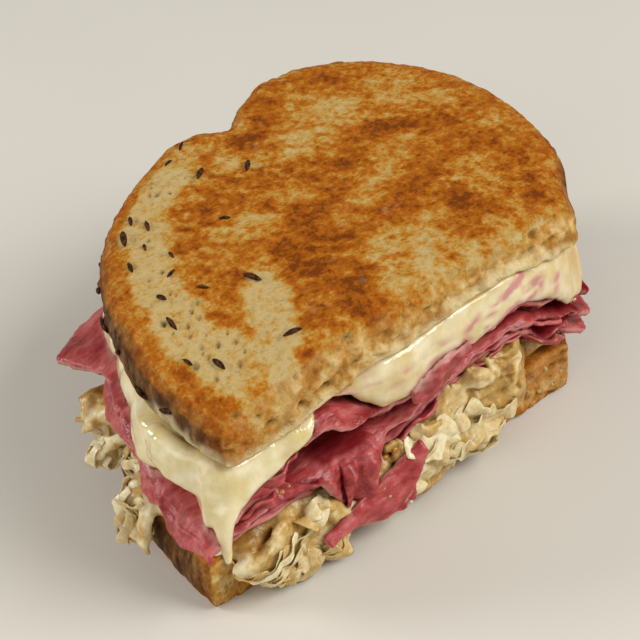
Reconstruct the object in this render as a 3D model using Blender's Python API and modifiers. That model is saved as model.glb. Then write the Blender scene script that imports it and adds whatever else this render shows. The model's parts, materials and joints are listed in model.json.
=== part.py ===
"""Half of a toasted reuben sandwich, knife cut facing -Y, lying on its bottom slice.

From the bottom up: a slice of seeded rye, sauerkraut, three folded slices of corned beef, melted
cheese and a second slice of rye. Sizes are in millimetres here and are turned to metres when a
mesh is made. While it is modelled, y = 0 is the cut of the bottom slice and z = 0 its underside.
"""

import math
import random

import bmesh
import bpy
import numpy as np
from mathutils import Euler, Vector, noise

MM = 0.001
GAP = 0.3                 # clearance kept between neighbouring pieces
LOOSE = 0.6               # clearance between two layers as they are laid, before any carving
SOLVER = "MANIFOLD"       # the exact solver empties or splits these thin, crumpled pieces

# Plan of a slice: the loaf's crust line in polar form about its heart, and one straight cut
HEART = np.array((4.0, 38.0))
CRUST_MEAN = 58.9
CRUST_WAVES = ((17.5, 1, 75.0), (8.2, 2, -126.9), (3.7, 3, -82.3))   # reach, lobes, turn in degrees
NOTCH_DEPTH = 10.4        # where the loaf rose over the edge of its tin
NOTCH_ANGLE = 79.0
NOTCH_WIDTH = 10.0
CRUSHED_CORNER = (7.0, -43.0, 12.0)   # depth, angle and width of the dent at the right end
CUT_STEPS = 31
RIGHT_STEPS = 13          # from the right corner to the notch
BACK_STEPS = 7            # from the notch to where the filling starts to hang out
LEFT_STEPS = 14           # down the left side
LEFT_ANGLE = 160.0        # where that side begins

# Slices of bread
BOTTOM_CUT_Y = 0.0
BOTTOM_SHIFT_X = -2.6     # the bottom slice has slid out to the left
BOTTOM_THICK = 12.0
TOP_CUT_Y = -4.5          # the top slice has slid towards the cut
TOP_SHARE = 0.985         # the top slice's size in plan against the bottom one's
TOP_CROWN = 51.5          # height of the toasted face
TOP_SAGS = (              # where that face is lower: x, y, half width, depth
    (-50.0, -4.0, 24.0, 4.6), (52.0, -4.0, 16.0, 1.2), (-32.0, 60.0, 26.0, 0.8),
)
CRUST_ROUND = 3.8         # rounding of a crust edge
CUT_ROUND = 0.9           # rounding of a sawn edge
TOP_CRUST_ROUND = 5.6     # the same two above the top slice, which was pressed on the griddle
TOP_CUT_ROUND = 6.0
CORNER_PULL = 1.3         # how far the top slice's two corners are drawn in
CRUST_ROUGH = 0.9         # how uneven the crust's side is

# Levels of the filling: at stations along the cut, and deep inside
#            x,   kraut top, middle beef, beef roof, underside of the top slice
STATIONS = (
    (-52.0, 14.4, 18.4, 22.4, 36.2),
    (-38.0, 17.2, 21.3, 25.4, 36.4),
    (-31.0, 16.8, 21.8, 31.5, 37.0),
    (-25.0, 15.4, 23.0, 36.2, 38.6),
    (-17.0, 14.4, 23.4, 33.0, 40.2),
    (-11.0, 17.0, 21.8, 28.6, 40.8),
    (0.0, 20.4, 24.8, 29.4, 41.6),
    (13.0, 23.4, 27.6, 31.8, 42.6),
    (25.0, 25.0, 29.4, 34.2, 43.0),
    (36.0, 18.8, 25.4, 31.0, 41.4),
    (49.0, 13.0, 19.6, 26.0, 39.4),
)
KRAUT_TOP, BEEF_MIDDLE, BEEF_ROOF, BREAD_UNDER = 1, 2, 3, 4
INSIDE = (None, 21.0, 25.1, 28.6, 36.8)
CUT_REACH = 15.0          # how far in from the cut its own levels are felt

FILLING_SHIFT_X = -1.0    # beef and cheese lie between the two slices of bread
KRAUT_SHIFT_X = -1.6

BEEF_THICK = 2.0
BEND_RADIUS = 2.0         # of a slice folding over an edge
SHORTEST_REACH = 0.9

# Stretches of a slice's edge that hang out, or are tucked in under another:
# middle x and y, half width, further reach, droop in degrees, squareness
LOWER_TONGUES = (
    (-49.5, 18.0, 5.0, 3.0, 55.0, 4),
    (-20.0, 0.0, 8.0, -1.5, 20.0, 4),
    (-51.0, 0.0, 7.0, -2.5, 20.0, 4),
)
MIDDLE_TONGUES = (
    (-20.0, 0.0, 6.0, 12.0, 88.0, 4),
    (-46.5, 36.0, 7.0, 3.0, 60.0, 4),
    (-51.0, 0.0, 7.0, -2.5, 20.0, 4),
)
UPPER_TONGUES = (
    (-52.0, 1.0, 9.0, 8.5, 86.0, 2),
    (-45.5, 0.0, 6.0, -9.0, 40.0, 4),
    (-35.5, 55.0, 7.5, 12.0, 12.0, 2),
    (-20.5, 0.0, 7.0, 3.2, 30.0, 4),
)

# Caraway seeds in the rye: those on the toasted face by place, turn and length, and some on the crust
SEED_ACROSS = (0.36, 0.3)         # width and height for each millimetre of length
FACE_SEEDS = (
    (-30.0, 52.0, 61, 5.2), (-24.0, 52.4, 66, 3.6), (-25.4, 56.4, 62, 3.4), (-34.6, 42.8, 70, 3.6),
    (-30.1, 35.2, 16, 2.6), (-35.9, 30.3, 92, 4.0), (-38.8, 22.8, 83, 3.8), (-38.4, 8.6, 87, 4.4),
    (-42.4, 12.8, 96, 2.8), (-5.5, 59.4, 38, 4.4), (3.5, 54.7, 48, 4.4), (-26.3, 40.6, 79, 2.6),
    (-11.4, 42.8, 146, 2.6), (-28.3, 27.1, 127, 2.8), (-19.8, 22.4, 109, 4.6), (-24.0, 4.6, 170, 4.2),
    (-7.4, 68.5, 24, 2.8), (-1.8, 71.6, 34, 2.8), (-28.6, 46.6, 64, 2.6),
)
CRUST_SEED = 4.2                  # length of the seeds on the crust
CRUST_SEEDS = ((152.0, 0.6), (164.0, 0.9), (176.0, -0.4), (188.0, 0.8), (199.0, -0.7), (207.0, 0.2))
SEED_PROUD = 0.1                  # how far the middle of a seed lies above the face

# Cheese: how far its face stands out from the filling, and how far it hangs below the beef's roof
CHEESE_OUT_AT_CUT = 5.4
CHEESE_OUT_AT_CRUST = -0.6
CHEESE_LIP = 2.6          # thickness of the hanging lip

# The drop that runs down over the beef at the near left corner: x, y, z, half width and half thickness
DROP = (
    (-48.6, -0.8, 29.0, 3.6, 1.8), (-49.2, -2.4, 27.4, 3.0, 1.6), (-49.9, -3.7, 25.2, 1.9, 1.2),
    (-50.7, -4.7, 22.5, 1.1, 0.85), (-50.9, -4.9, 19.7, 0.5, 0.5),
)
DROP_TURN = -45.0         # which way its width lies, in degrees from the cut
DROP_SIDES = 8

# Where the cheese stands further out or hangs lower: x and y, half width, out, hang, squareness
DRIPS = (
    (-49.5, -1.4, 2.6, 0.2, 4.6, 2),
    (-40.0, 0.0, 7.0, -1.2, -2.2, 4),
    (-20.5, 0.0, 7.5, -2.8, -1.4, 4),
    (43.0, 1.0, 6.0, 0.6, 3.4, 2),
    (-52.0, 7.5, 5.0, -3.4, -4.4, 2),
    (-50.0, 19.0, 6.0, 2.2, 2.6, 2),
    (-44.0, 38.0, 13.0, -1.6, -0.6, 4),
    (-20.0, 70.0, 9.0, 2.6, 2.0, 2),
    (24.0, 84.0, 12.0, 2.4, 3.5, 2),
    (58.0, 62.0, 8.0, 2.8, 4.5, 2),
    (60.0, 24.0, 9.0, 2.2, 1.5, 2),
)

# Sauerkraut: a layer that spills over the cut as a curtain, and the shreds that show on it
CURTAIN_ENDS = (-45.0, 25.0)
CURTAIN_LOW = 3.2         # height of the curtain's lower edge
CURTAIN_OUT = 4.0
KRAUT_TUFTS = ((-43.5, 45.5, 5.5, 6.0), (-51.0, 20.0, 4.0, 3.6))   # place, half width, how far out
SHRED_COUNT = 19
SHRED_WIDTH = 2.8
SHRED_THICK = 1.1

# Shreds that stick out of the left side, each a path and the way its broad side faces
LOOSE_SHREDS = (
    (((-36.0, 49.0, 18.5), (-43.0, 50.0, 20.5), (-47.5, 49.5, 21.0), (-49.5, 46.5, 18.5)), (0, 0, 1)),
    (((-36.0, 45.0, 17.0), (-43.5, 45.5, 18.5), (-48.0, 47.0, 18.0), (-50.5, 50.0, 16.5)), (0, 0, 1)),
    (((-38.0, 42.0, 18.0), (-45.0, 42.0, 19.5), (-49.5, 43.5, 19.0), (-51.0, 46.0, 16.0)), (0, 0, 1)),
    (((-40.0, 35.0, 17.0), (-47.0, 34.5, 19.5), (-50.5, 36.5, 18.0), (-52.5, 39.0, 15.5)), (0, 0, 1)),
    (((-45.0, 24.0, 16.5), (-52.0, 23.5, 18.5), (-55.4, 23.0, 13.5), (-56.2, 21.0, 8.5)), (-1, 0, 0.3)),
    (((-45.0, 19.0, 15.5), (-52.5, 18.5, 17.0), (-56.0, 18.0, 12.0), (-56.4, 16.5, 5.5)), (-1, 0, 0.3)),
)

# The slice that has slipped out and hangs in front: its top edge from the tip to the far end,
# the way its face falls, its width and how thick it is
LEAF_TIP = np.array((-30.0, -6.8, 8.6))
LEAF_FAR = np.array((-3.8, -6.2, 18.2))
LEAF_FALL = np.array((0.12, -0.26, -1.0))
LEAF_WIDTH = 9.6
LEAF_THICK = 1.7

# The scrap on the face of the cheese
SCRAP_START = np.array((-5.0, -6.5, 30.0))
SCRAP_RUN = np.array((15.0, 0.0, 5.0))
SCRAP_WIDTH = 6.0
SCRAP_THICK = 1.6


def crust_radius(degrees):
    """Distance from the heart of the loaf to its crust line."""
    radius = CRUST_MEAN
    for reach, lobes, turn in CRUST_WAVES:
        radius = radius + reach * np.cos(np.radians(lobes * degrees + turn))
    radius = radius - NOTCH_DEPTH * bump(degrees - NOTCH_ANGLE, NOTCH_WIDTH)
    depth, angle, width = CRUSHED_CORNER
    return radius - depth * bump(degrees - angle, width)


def along(points, steps):
    """Even steps along a line of points, its last point left out."""
    lengths = np.r_[0.0, np.cumsum(np.linalg.norm(np.diff(points, axis=0), axis=1))]
    places = np.linspace(0.0, lengths[-1], steps, endpoint=False)
    return np.c_[np.interp(places, lengths, points[:, 0]), np.interp(places, lengths, points[:, 1])]


def slice_outline(cut_y, shift_x=0.0, share=1.0):
    """Outline of a half slice: left corner, along the cut, then round the crust, anticlockwise."""
    angles = np.linspace(-90.0, 270.0, 3601)
    radii = share * crust_radius(angles)
    loaf = HEART + np.c_[radii * np.cos(np.radians(angles)), radii * np.sin(np.radians(angles))]
    above = loaf[:, 1] >= cut_y
    crust, angles = loaf[above], angles[above]
    crust[0, 1] = crust[-1, 1] = cut_y
    cut = np.array((crust[-1], crust[0]))
    notch, left = np.searchsorted(angles, (NOTCH_ANGLE, LEFT_ANGLE))
    outline = np.r_[along(cut, CUT_STEPS), along(crust[:notch + 1], RIGHT_STEPS),
                    along(crust[notch:left + 1], BACK_STEPS), along(crust[left:], LEFT_STEPS)]
    return outline + (shift_x, 0.0)


def outward(outline):
    """Unit vectors that point out of a closed anticlockwise outline."""
    run = np.roll(outline, -1, axis=0) - np.roll(outline, 1, axis=0)
    normal = np.c_[run[:, 1], -run[:, 0]]
    return normal / np.linalg.norm(normal, axis=1)[:, None]


def smooth(value, low, high):
    """0 below low, 1 above high and an easy curve between."""
    part = np.clip((np.asarray(value, float) - low) / (high - low), 0.0, 1.0)
    return part * part * (3.0 - 2.0 * part)


def bump(distance, width, power=2):
    """1 at no distance, falling to 0 past the width."""
    return np.exp(-(np.abs(distance) / width) ** power)


def ripple(places, size, seed):
    """Smooth noise from -1 to 1 at each place, with waves of about the given size."""
    return np.array([noise.noise(Vector((x / size, y / size, seed))) for x, y in places[:, :2]])


def level(column, places):
    """Height of one level of the filling at each place, following the cut near it."""
    stations = np.array(STATIONS)
    x = places[:, 0]
    left = np.clip(np.searchsorted(stations[:, 0], x) - 1, 0, len(stations) - 2)
    part = smooth(x, stations[left, 0], stations[left + 1, 0])
    at_cut = stations[left, column] * (1.0 - part) + stations[left + 1, column] * part
    near = bump(np.maximum(places[:, 1], 0.0), CUT_REACH)
    return INSIDE[column] + (at_cut - INSIDE[column]) * near + 0.7 * ripple(places, 17.0, 3.0)


def crown(places):
    """Height of the toasted face of the top slice: lower at the near left corner."""
    height = TOP_CROWN + 0.5 * ripple(places, 22.0, 8.0)
    for x, y, half_width, depth in TOP_SAGS:
        height = height - depth * share_near(places, x, y, half_width)
    return height


def material(name, color, roughness, subsurface=0.0):
    """A plain finish for one kind of piece."""
    finish = bpy.data.materials.new(name)
    finish.use_nodes = True
    shader = finish.node_tree.nodes["Principled BSDF"]
    shader.inputs["Base Color"].default_value = (*color, 1.0)
    shader.inputs["Roughness"].default_value = roughness
    shader.inputs["Subsurface Weight"].default_value = subsurface
    return finish


def add_object(name, bm, finish, collection):
    """An object made from a bmesh whose places are in millimetres."""
    bmesh.ops.scale(bm, vec=(MM, MM, MM), verts=bm.verts)
    mesh = bpy.data.meshes.new(name)
    bm.to_mesh(mesh)
    bm.free()
    mesh.materials.append(finish)
    obj = bpy.data.objects.new(name, mesh)
    collection.objects.link(obj)
    return obj


def skin(rings, first, last=None):
    """A bmesh skinned over rings of equal count, closed by one point at its start and end."""
    bm = bmesh.new()
    loops = [[bm.verts.new(tuple(point)) for point in ring] for ring in rings]
    count = len(loops[0])
    start = bm.verts.new(tuple(first))
    for i in range(count):
        bm.faces.new((start, loops[0][i], loops[0][(i + 1) % count]))
    for lower, upper in zip(loops, loops[1:]):
        for i in range(count):
            j = (i + 1) % count
            bm.faces.new((lower[i], upper[i], upper[j], lower[j]))
    if last is not None:
        end = bm.verts.new(tuple(last))
        for i in range(count):
            bm.faces.new((end, loops[-1][(i + 1) % count], loops[-1][i]))
    bmesh.ops.triangulate(bm, faces=bm.faces)
    return bm


def inner_ring(outline, share):
    """The outline drawn in towards the heart."""
    return HEART + share * (outline - HEART)


def ring_at(plan, heights):
    """Places of one ring from its plan and its heights."""
    return np.c_[plan, np.broadcast_to(heights, len(plan))]


def slab(name, outline, top, under, rounds_above, rounds_below, inner_shares, finish, collection):
    """A slice of bread: two faces, a rounded crust and a nearly square cut."""
    normal = outward(outline)
    inward = HEART - outline
    inward = inward / np.linalg.norm(inward, axis=1)[:, None]
    inward = inward / np.maximum(-np.sum(inward * normal, axis=1), 0.5)[:, None]
    rings = []
    for share in inner_shares:
        plan = inner_ring(outline, share)
        rings.append(ring_at(plan, top(plan)))
    arc = np.radians((90.0, 55.0, 20.0))
    for angle in arc:
        inset = rounds_above * (1.0 - math.cos(angle))
        plan = outline + inward * inset[:, None]
        rings.append(ring_at(plan, top(plan) - rounds_above * (1.0 - math.sin(angle))))
    middle = outline + normal * (CRUST_ROUGH * ripple(outline, 7.0, 5.0))[:, None]
    below_arc = (top(outline) - rounds_above + under(outline) + rounds_below) / 2.0
    rings.append(ring_at(middle, below_arc))
    for angle in arc[::-1]:
        inset = rounds_below * (1.0 - math.cos(angle))
        plan = outline + inward * inset[:, None]
        rings.append(ring_at(plan, under(plan) + rounds_below * (1.0 - math.sin(angle))))
    heart = HEART[None, :]
    bm = skin(rings, (*HEART, top(heart)[0]), (*HEART, under(heart)[0]))
    return add_object(name, bm, finish, collection)


def edge_rounds(outline, cut_y, at_cut, at_crust):
    """Rounding at each outline point, of one size along the sawn cut and another on the crust."""
    return at_cut + (at_crust - at_cut) * smooth(outline[:, 1], cut_y + 0.5, cut_y + 6.0)


def bottom_bread(collection, finish):
    """The bottom slice, flat underneath, its upper face bearing the filling."""
    outline = slice_outline(BOTTOM_CUT_Y, BOTTOM_SHIFT_X)
    rounds = edge_rounds(outline, BOTTOM_CUT_Y, CUT_ROUND, CRUST_ROUND)
    return slab("bottom_bread", outline,
                top=lambda plan: np.full(len(plan), BOTTOM_THICK),
                under=lambda plan: np.zeros(len(plan)),
                rounds_above=rounds, rounds_below=rounds,
                inner_shares=(), finish=finish, collection=collection)


def top_bread(collection, finish):
    """The top slice, sagging at its near left corner, with caraway seeds fused on."""
    outline = slice_outline(TOP_CUT_Y, share=TOP_SHARE)
    for corner, pull in ((0, 1.0), (1, 0.25), (-1, 0.25), (CUT_STEPS, 1.0), (CUT_STEPS - 1, 0.25)):
        out = outline[corner] - HEART
        outline[corner] -= CORNER_PULL * pull * out / np.linalg.norm(out)
    bread = slab("top_bread", outline, top=crown,
                 under=lambda plan: level(BREAD_UNDER, plan),
                 rounds_above=edge_rounds(outline, TOP_CUT_Y, TOP_CUT_ROUND, TOP_CRUST_ROUND),
                 rounds_below=edge_rounds(outline, TOP_CUT_Y, CUT_ROUND, CRUST_ROUND),
                 inner_shares=(0.5, 0.82), finish=finish, collection=collection)
    seeds = bpy.data.collections.new("seeds")
    bpy.context.scene.collection.children.link(seeds)
    for x, y, turn, length in FACE_SEEDS:
        plan = np.array((x, y))
        add_seed(seeds, finish, length, (*plan, seed_height(plan)), (0.0, 0.0, math.radians(turn)))
    for degrees, tilt in CRUST_SEEDS:
        plan = place_on_loaf(degrees, 1.0)
        middle = (crown(plan[None, :])[0] + level(BREAD_UNDER, plan[None, :])[0]) / 2.0 - 0.4
        turn = (math.radians(90.0), tilt, math.radians(degrees + 90.0))
        add_seed(seeds, finish, CRUST_SEED, (*plan, middle + 0.9 * tilt), turn)
    fuse(bread, seeds)
    return bread


def seed_height(plan):
    """Height of the middle of a seed that is baked into the toasted face."""
    return crown(plan[None, :])[0] + SEED_PROUD


def place_on_loaf(degrees, share):
    """A place on the top slice at an angle about the heart, by its share of the way to the crust."""
    radius = share * TOP_SHARE * float(crust_radius(degrees))
    return HEART + radius * np.array((math.cos(math.radians(degrees)), math.sin(math.radians(degrees))))


def add_seed(collection, finish, length, place, turn):
    """One caraway seed, a low spindle of few sides."""
    bm = bmesh.new()
    bmesh.ops.create_uvsphere(bm, u_segments=5, v_segments=4, radius=0.5)
    bmesh.ops.rotate(bm, cent=(0, 0, 0), matrix=spin((0.0, math.pi / 2, 0.0)), verts=bm.verts)
    size = (length, *(share * length for share in SEED_ACROSS))
    bmesh.ops.scale(bm, vec=size, verts=bm.verts)
    bmesh.ops.rotate(bm, cent=(0, 0, 0), matrix=spin(turn), verts=bm.verts)
    bmesh.ops.translate(bm, vec=place, verts=bm.verts)
    add_object("seed", bm, finish, collection)


def spin(turn):
    """Rotation matrix of three Euler angles."""
    return Euler(turn).to_matrix()


def fuse(obj, pieces):
    """Join every object of a collection to one body, and drop the collection's objects."""
    union = obj.modifiers.new("fuse", "BOOLEAN")
    union.operation = "UNION"
    union.operand_type = "COLLECTION"
    union.collection = pieces
    union.solver = SOLVER
    apply_modifiers(obj)
    for piece in list(pieces.objects):
        bpy.data.objects.remove(piece)
    bpy.data.collections.remove(pieces)
    keep_largest(obj)


def carve(obj, neighbour, cutters):
    """Cut a neighbour, grown by the gap between pieces, out of an object."""
    grown = neighbour.copy()
    grown.data = bpy.data.meshes.new_from_object(
        neighbour.evaluated_get(bpy.context.evaluated_depsgraph_get()))
    grown.modifiers.clear()
    grown.name = neighbour.name + "_cutter"
    swell = grown.modifiers.new("swell", "DISPLACE")
    swell.strength = GAP * MM
    swell.mid_level = 0.0
    cutters.objects.link(grown)
    grown.hide_render = True
    grown.display_type = "WIRE"
    cut = obj.modifiers.new("carve", "BOOLEAN")
    cut.operation = "DIFFERENCE"
    cut.object = grown
    cut.solver = SOLVER
    apply_modifiers(obj)
    bpy.data.objects.remove(grown)
    keep_largest(obj)


def apply_modifiers(obj):
    """Replace an object's mesh by what its modifiers make of it."""
    bpy.context.view_layer.update()
    graph = bpy.context.evaluated_depsgraph_get()
    graph.update()
    made = bpy.data.meshes.new_from_object(obj.evaluated_get(graph))
    obj.modifiers.clear()
    obj.data = made


def keep_largest(obj):
    """Drop the loose scraps that a Boolean leaves, and keep the largest body."""
    bm = bmesh.new()
    bm.from_mesh(obj.data)
    unseen = set(bm.verts)
    bodies = []
    while unseen:
        stack = [unseen.pop()]
        body = set(stack)
        while stack:
            for edge in stack.pop().link_edges:
                for vert in edge.verts:
                    if vert not in body:
                        body.add(vert)
                        stack.append(vert)
        unseen -= body
        bodies.append(body)
    largest = max(bodies, key=len)
    scraps = [vert for vert in bm.verts if vert not in largest]
    bmesh.ops.delete(bm, geom=scraps, context="VERTS")
    bm.to_mesh(obj.data)
    bm.free()


def share_near(outline, x, y, half_width, squareness=2):
    """How near each outline point is to a place: 1 on it, falling to 0 past the half width."""
    return bump(np.hypot(outline[:, 0] - x, outline[:, 1] - y), half_width, squareness)


def beef_slice(name, height, rim, tongues, seed, finish, collection):
    """A thin slice of corned beef that runs through the sandwich and hangs over its edges."""
    outline = slice_outline(BOTTOM_CUT_Y, FILLING_SHIFT_X)
    normal = outward(outline)
    reach = 2.0 + 1.4 * ripple(outline, 6.0, seed)
    droop = np.full(len(outline), 35.0)
    for x, y, half_width, further, tongue_droop, squareness in tongues:
        share = share_near(outline, x, y, half_width, squareness)
        reach = reach + further * share
        droop = droop * (1.0 - share) + tongue_droop * share
    reach = np.maximum(reach, SHORTEST_REACH)
    plan = inner_ring(outline, 0.8)
    rings = [ring_at(plan, height(plan))]
    rim_plan = outline + normal * rim[:, None]
    rings.append(ring_at(rim_plan, height(rim_plan)))
    limit = np.radians(droop)
    for step in (1, 2, 3):
        run = reach * step / 3.0
        turned = np.minimum(run / BEND_RADIUS, limit)
        straight = run - turned * BEND_RADIUS
        out = BEND_RADIUS * np.sin(turned) + straight * np.cos(limit)
        drop = BEND_RADIUS * (1.0 - np.cos(turned)) + straight * np.sin(limit)
        crinkle = 0.5 * step / 3.0 * ripple(outline, 5.0, seed + 2.0 + 0.4 * step)
        plan = rim_plan + normal * (out + crinkle)[:, None]
        rings.append(ring_at(plan, height(rim_plan) - drop))
    heart = HEART[None, :]
    bm = skin(rings, (*HEART, height(heart)[0]))
    obj = add_object(name, bm, finish, collection)
    solidify(obj, BEEF_THICK)
    return obj


def solidify(obj, thickness):
    """Give an open surface its thickness, half to each side."""
    shell = obj.modifiers.new("thickness", "SOLIDIFY")
    shell.thickness = thickness * MM
    shell.offset = 0.0
    shell.use_even_offset = True


def melted_cheese(collection, finish):
    """Cheese between the beef and the top slice, whose lip bulges out and hangs at the edges."""
    outline = slice_outline(BOTTOM_CUT_Y, FILLING_SHIFT_X)
    normal = outward(outline)
    at_cut = 1.0 - smooth(outline[:, 1], 0.0, 8.0)
    off_corner = 0.45 + 0.55 * smooth(outline[:, 0], -52.0, -43.0) - 0.3 * smooth(outline[:, 0], 34.0, 46.0)
    face = CHEESE_OUT_AT_CRUST + (CHEESE_OUT_AT_CUT - CHEESE_OUT_AT_CRUST) * at_cut * off_corner
    face = face + 0.7 * ripple(outline, 8.0, 21.0)
    hang = -0.6 + 0.8 * ripple(outline, 7.0, 24.0)
    for x, y, half_width, out, lower, squareness in DRIPS:
        share = share_near(outline, x, y, half_width, squareness)
        face = face + out * share
        hang = hang + lower * share

    def under(plan):
        return level(BREAD_UNDER, plan) - LOOSE

    def over(plan):
        return level(BEEF_ROOF, plan) + LOOSE

    def ring(out, heights):
        return ring_at(outline + normal * np.asarray(out)[:, None], heights)

    edge = outline + normal * (face - CHEESE_LIP)[:, None]
    low = level(BEEF_ROOF, edge) - hang
    high = under(edge)
    smear = 3.2 * at_cut * bump(outline[:, 0] - 18.0, 11.0)
    plan = inner_ring(outline, 0.85)
    rings = [ring_at(plan, under(plan))]
    rings.append(ring(face - CHEESE_LIP, high))
    rings.append(ring(face - 1.1, high - 0.6 + smear))
    rings.append(ring(face - 0.2, high * 0.62 + low * 0.38 + 0.4 * smear))
    rings.append(ring(face + 0.3, high * 0.22 + low * 0.78))
    rings.append(ring(face - 0.7, low))
    rings.append(ring(face - CHEESE_LIP, low + 0.5 * CHEESE_LIP * smooth(hang, -1.0, 1.5)))
    plan = inner_ring(outline, 0.85)
    rings.append(ring_at(plan, over(plan)))
    heart = HEART[None, :]
    bm = skin(rings, (*HEART, under(heart)[0]), (*HEART, over(heart)[0]))
    cheese = add_object("melted_cheese", bm, finish, collection)
    drops = bpy.data.collections.new("drops")
    bpy.context.scene.collection.children.link(drops)
    add_drop(drops, finish)
    fuse(cheese, drops)
    return cheese


def add_drop(collection, finish):
    """The long drop of cheese, drawn out to a point."""
    turn = np.radians(360.0 * np.arange(DROP_SIDES) / DROP_SIDES)
    wide = np.array((math.cos(math.radians(DROP_TURN)), math.sin(math.radians(DROP_TURN))))
    across = np.array((-wide[1], wide[0]))
    rings = []
    for x, y, z, half_width, half_thick in reversed(DROP):
        oval = np.outer(half_width * np.cos(turn), wide) + np.outer(half_thick * np.sin(turn), across)
        rings.append(ring_at(oval + (x, y), z))
    first, last = DROP[-1], DROP[0]
    bm = skin(rings, (first[0], first[1], first[2] - first[3]), last[:3])
    bmesh.ops.recalc_face_normals(bm, faces=bm.faces)
    add_object("drop", bm, finish, collection)


def curtain_low(x):
    """Height of the curtain's lower edge along the cut."""
    rise = 8.0 * bump(x + 52.0, 8.0) + 4.5 * bump(x - 27.0, 9.0)
    return CURTAIN_LOW + rise + 0.8 * math.sin(x / 4.0)


def kraut_core(collection, finish):
    """The bare layer of sauerkraut, with its curtain over the cut of the bottom slice."""
    outline = slice_outline(BOTTOM_CUT_Y, KRAUT_SHIFT_X)
    normal = outward(outline)
    x = outline[:, 0]
    curtain = (1.0 - smooth(outline[:, 1], 0.0, 3.0)) * smooth(x, CURTAIN_ENDS[0] - 5, CURTAIN_ENDS[0])
    curtain = curtain * (1.0 - smooth(x, CURTAIN_ENDS[1], CURTAIN_ENDS[1] + 7.0))
    low = np.array([curtain_low(place) for place in x])
    top = level(KRAUT_TOP, outline)
    floor = BOTTOM_THICK + LOOSE
    uneven = 0.7 * ripple(outline, 6.0, 31.0)
    for tuft_x, tuft_y, half_width, out in KRAUT_TUFTS:
        uneven = uneven + out * share_near(outline, tuft_x, tuft_y, half_width)
    # Each step round the edge: out and height at the crust, then out and height at the curtain
    steps = (
        (-7.0, floor, -3.0, floor),
        (-3.2, floor, 0.4, floor),
        (-2.4, floor + 0.6, 0.4, low + 1.0),
        (-1.8, floor + 1.6, CURTAIN_OUT * 0.5, low),
        (-1.4, (floor + top) / 2.0, CURTAIN_OUT, low + 1.6),
        (-1.6, top - 2.0, CURTAIN_OUT + 0.3, (low + top) / 2.0),
        (-2.4, top - 0.7, CURTAIN_OUT - 1.6, top - 1.2),
        (-4.5, top, 0.0, top),
    )
    rings = []
    for number, (out, height, curtain_out, curtain_height) in enumerate(steps):
        mixed = out * (1.0 - curtain) + curtain_out * curtain
        loose = uneven if number > 1 else 0.0
        tall = height * (1.0 - curtain) + curtain_height * curtain
        rings.append(ring_at(outline + normal * (mixed + loose)[:, None], tall))
    plan = inner_ring(outline, 0.8)
    rings.append(ring_at(plan, level(KRAUT_TOP, plan)))
    heart = HEART[None, :]
    bm = skin(rings, (*HEART, floor), (*HEART, level(KRAUT_TOP, heart)[0]))
    for face in bm.faces:
        face.normal_flip()
    return add_object("sauerkraut", bm, finish, collection)


def ribbon(path, facing, width):
    """A flat shred along a path, its broad side to the facing direction."""
    path = [Vector(point) for point in path]
    bm = bmesh.new()
    rings = []
    for i, point in enumerate(path):
        ahead = path[min(i + 1, len(path) - 1)] - path[max(i - 1, 0)]
        across = ahead.cross(facing).normalized()
        lift = across.cross(ahead).normalized()
        taper = 0.65 if i in (0, len(path) - 1) else 1.0
        half = across * width * taper / 2.0
        rise = lift * SHRED_THICK * taper / 2.0
        corners = (point - half - rise, point + half - rise, point + half + rise, point - half + rise)
        rings.append([bm.verts.new(corner) for corner in corners])
    for first, second in zip(rings, rings[1:]):
        for i in range(4):
            j = (i + 1) % 4
            bm.faces.new((first[i], first[j], second[j], second[i]))
    bm.faces.new(rings[0][::-1])
    bm.faces.new(rings[-1])
    bmesh.ops.recalc_face_normals(bm, faces=bm.faces)
    bmesh.ops.triangulate(bm, faces=bm.faces)
    return bm


def sauerkraut(collection, finish):
    """The layer of sauerkraut with its showing shreds fused on."""
    core = kraut_core(collection, finish)
    shreds = bpy.data.collections.new("shreds")
    bpy.context.scene.collection.children.link(shreds)
    rng = random.Random(5)
    for i in range(SHRED_COUNT):
        span = (i + rng.uniform(0.1, 0.9)) / SHRED_COUNT
        x = CURTAIN_ENDS[0] + 1.0 + span * (CURTAIN_ENDS[1] - CURTAIN_ENDS[0] - 2.0)
        top = level(KRAUT_TOP, np.array(((x, 0.0),)))[0] - 3.0
        z = rng.uniform(curtain_low(x) + 1.5, max(top, curtain_low(x) + 2.5))
        tilt = rng.uniform(-0.9, 0.9)
        half = rng.uniform(4.5, 8.0)
        bow = rng.uniform(-2.0, 2.0)
        path = []
        for step in (-1.0, -0.4, 0.3, 1.0):
            along_x = x + step * half * math.cos(tilt)
            height = z + step * half * math.sin(tilt) + bow * (1.0 - step * step)
            height = max(height, curtain_low(along_x) + 0.6)
            out = CURTAIN_OUT + 0.15 + 0.7 * (1.0 - step * step) - 0.9 * abs(step) ** 3
            path.append((along_x, -out, height))
        width = SHRED_WIDTH * rng.uniform(0.7, 1.2)
        add_object("shred", ribbon(path, Vector((0.0, -1.0, 0.0)), width), finish, shreds)
    for points, facing in LOOSE_SHREDS:
        add_object("shred", ribbon(points, Vector(facing), SHRED_WIDTH), finish, shreds)
    outline = slice_outline(BOTTOM_CUT_Y, KRAUT_SHIFT_X)
    normal = outward(outline)
    for i in range(CUT_STEPS + 3, len(outline) - 9, 3):
        place = outline[i]
        side = np.array((-normal[i][1], normal[i][0]))
        sweep = rng.uniform(-4.0, 4.0)
        reach = rng.uniform(0.5, 3.0)
        z = rng.uniform(BOTTOM_THICK + 2.5, 17.0)
        path = []
        for step in (0.0, 0.4, 0.75, 1.0):
            plan = place + normal[i] * (-4.0 + (4.0 + reach) * math.sin(step * 2.0)) + side * sweep * step
            path.append((*plan, z - 1.6 * step * step))
        add_object("shred", ribbon(path, Vector((0.0, 0.0, 1.0)), SHRED_WIDTH), finish, shreds)
    fuse(core, shreds)
    return core


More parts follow.
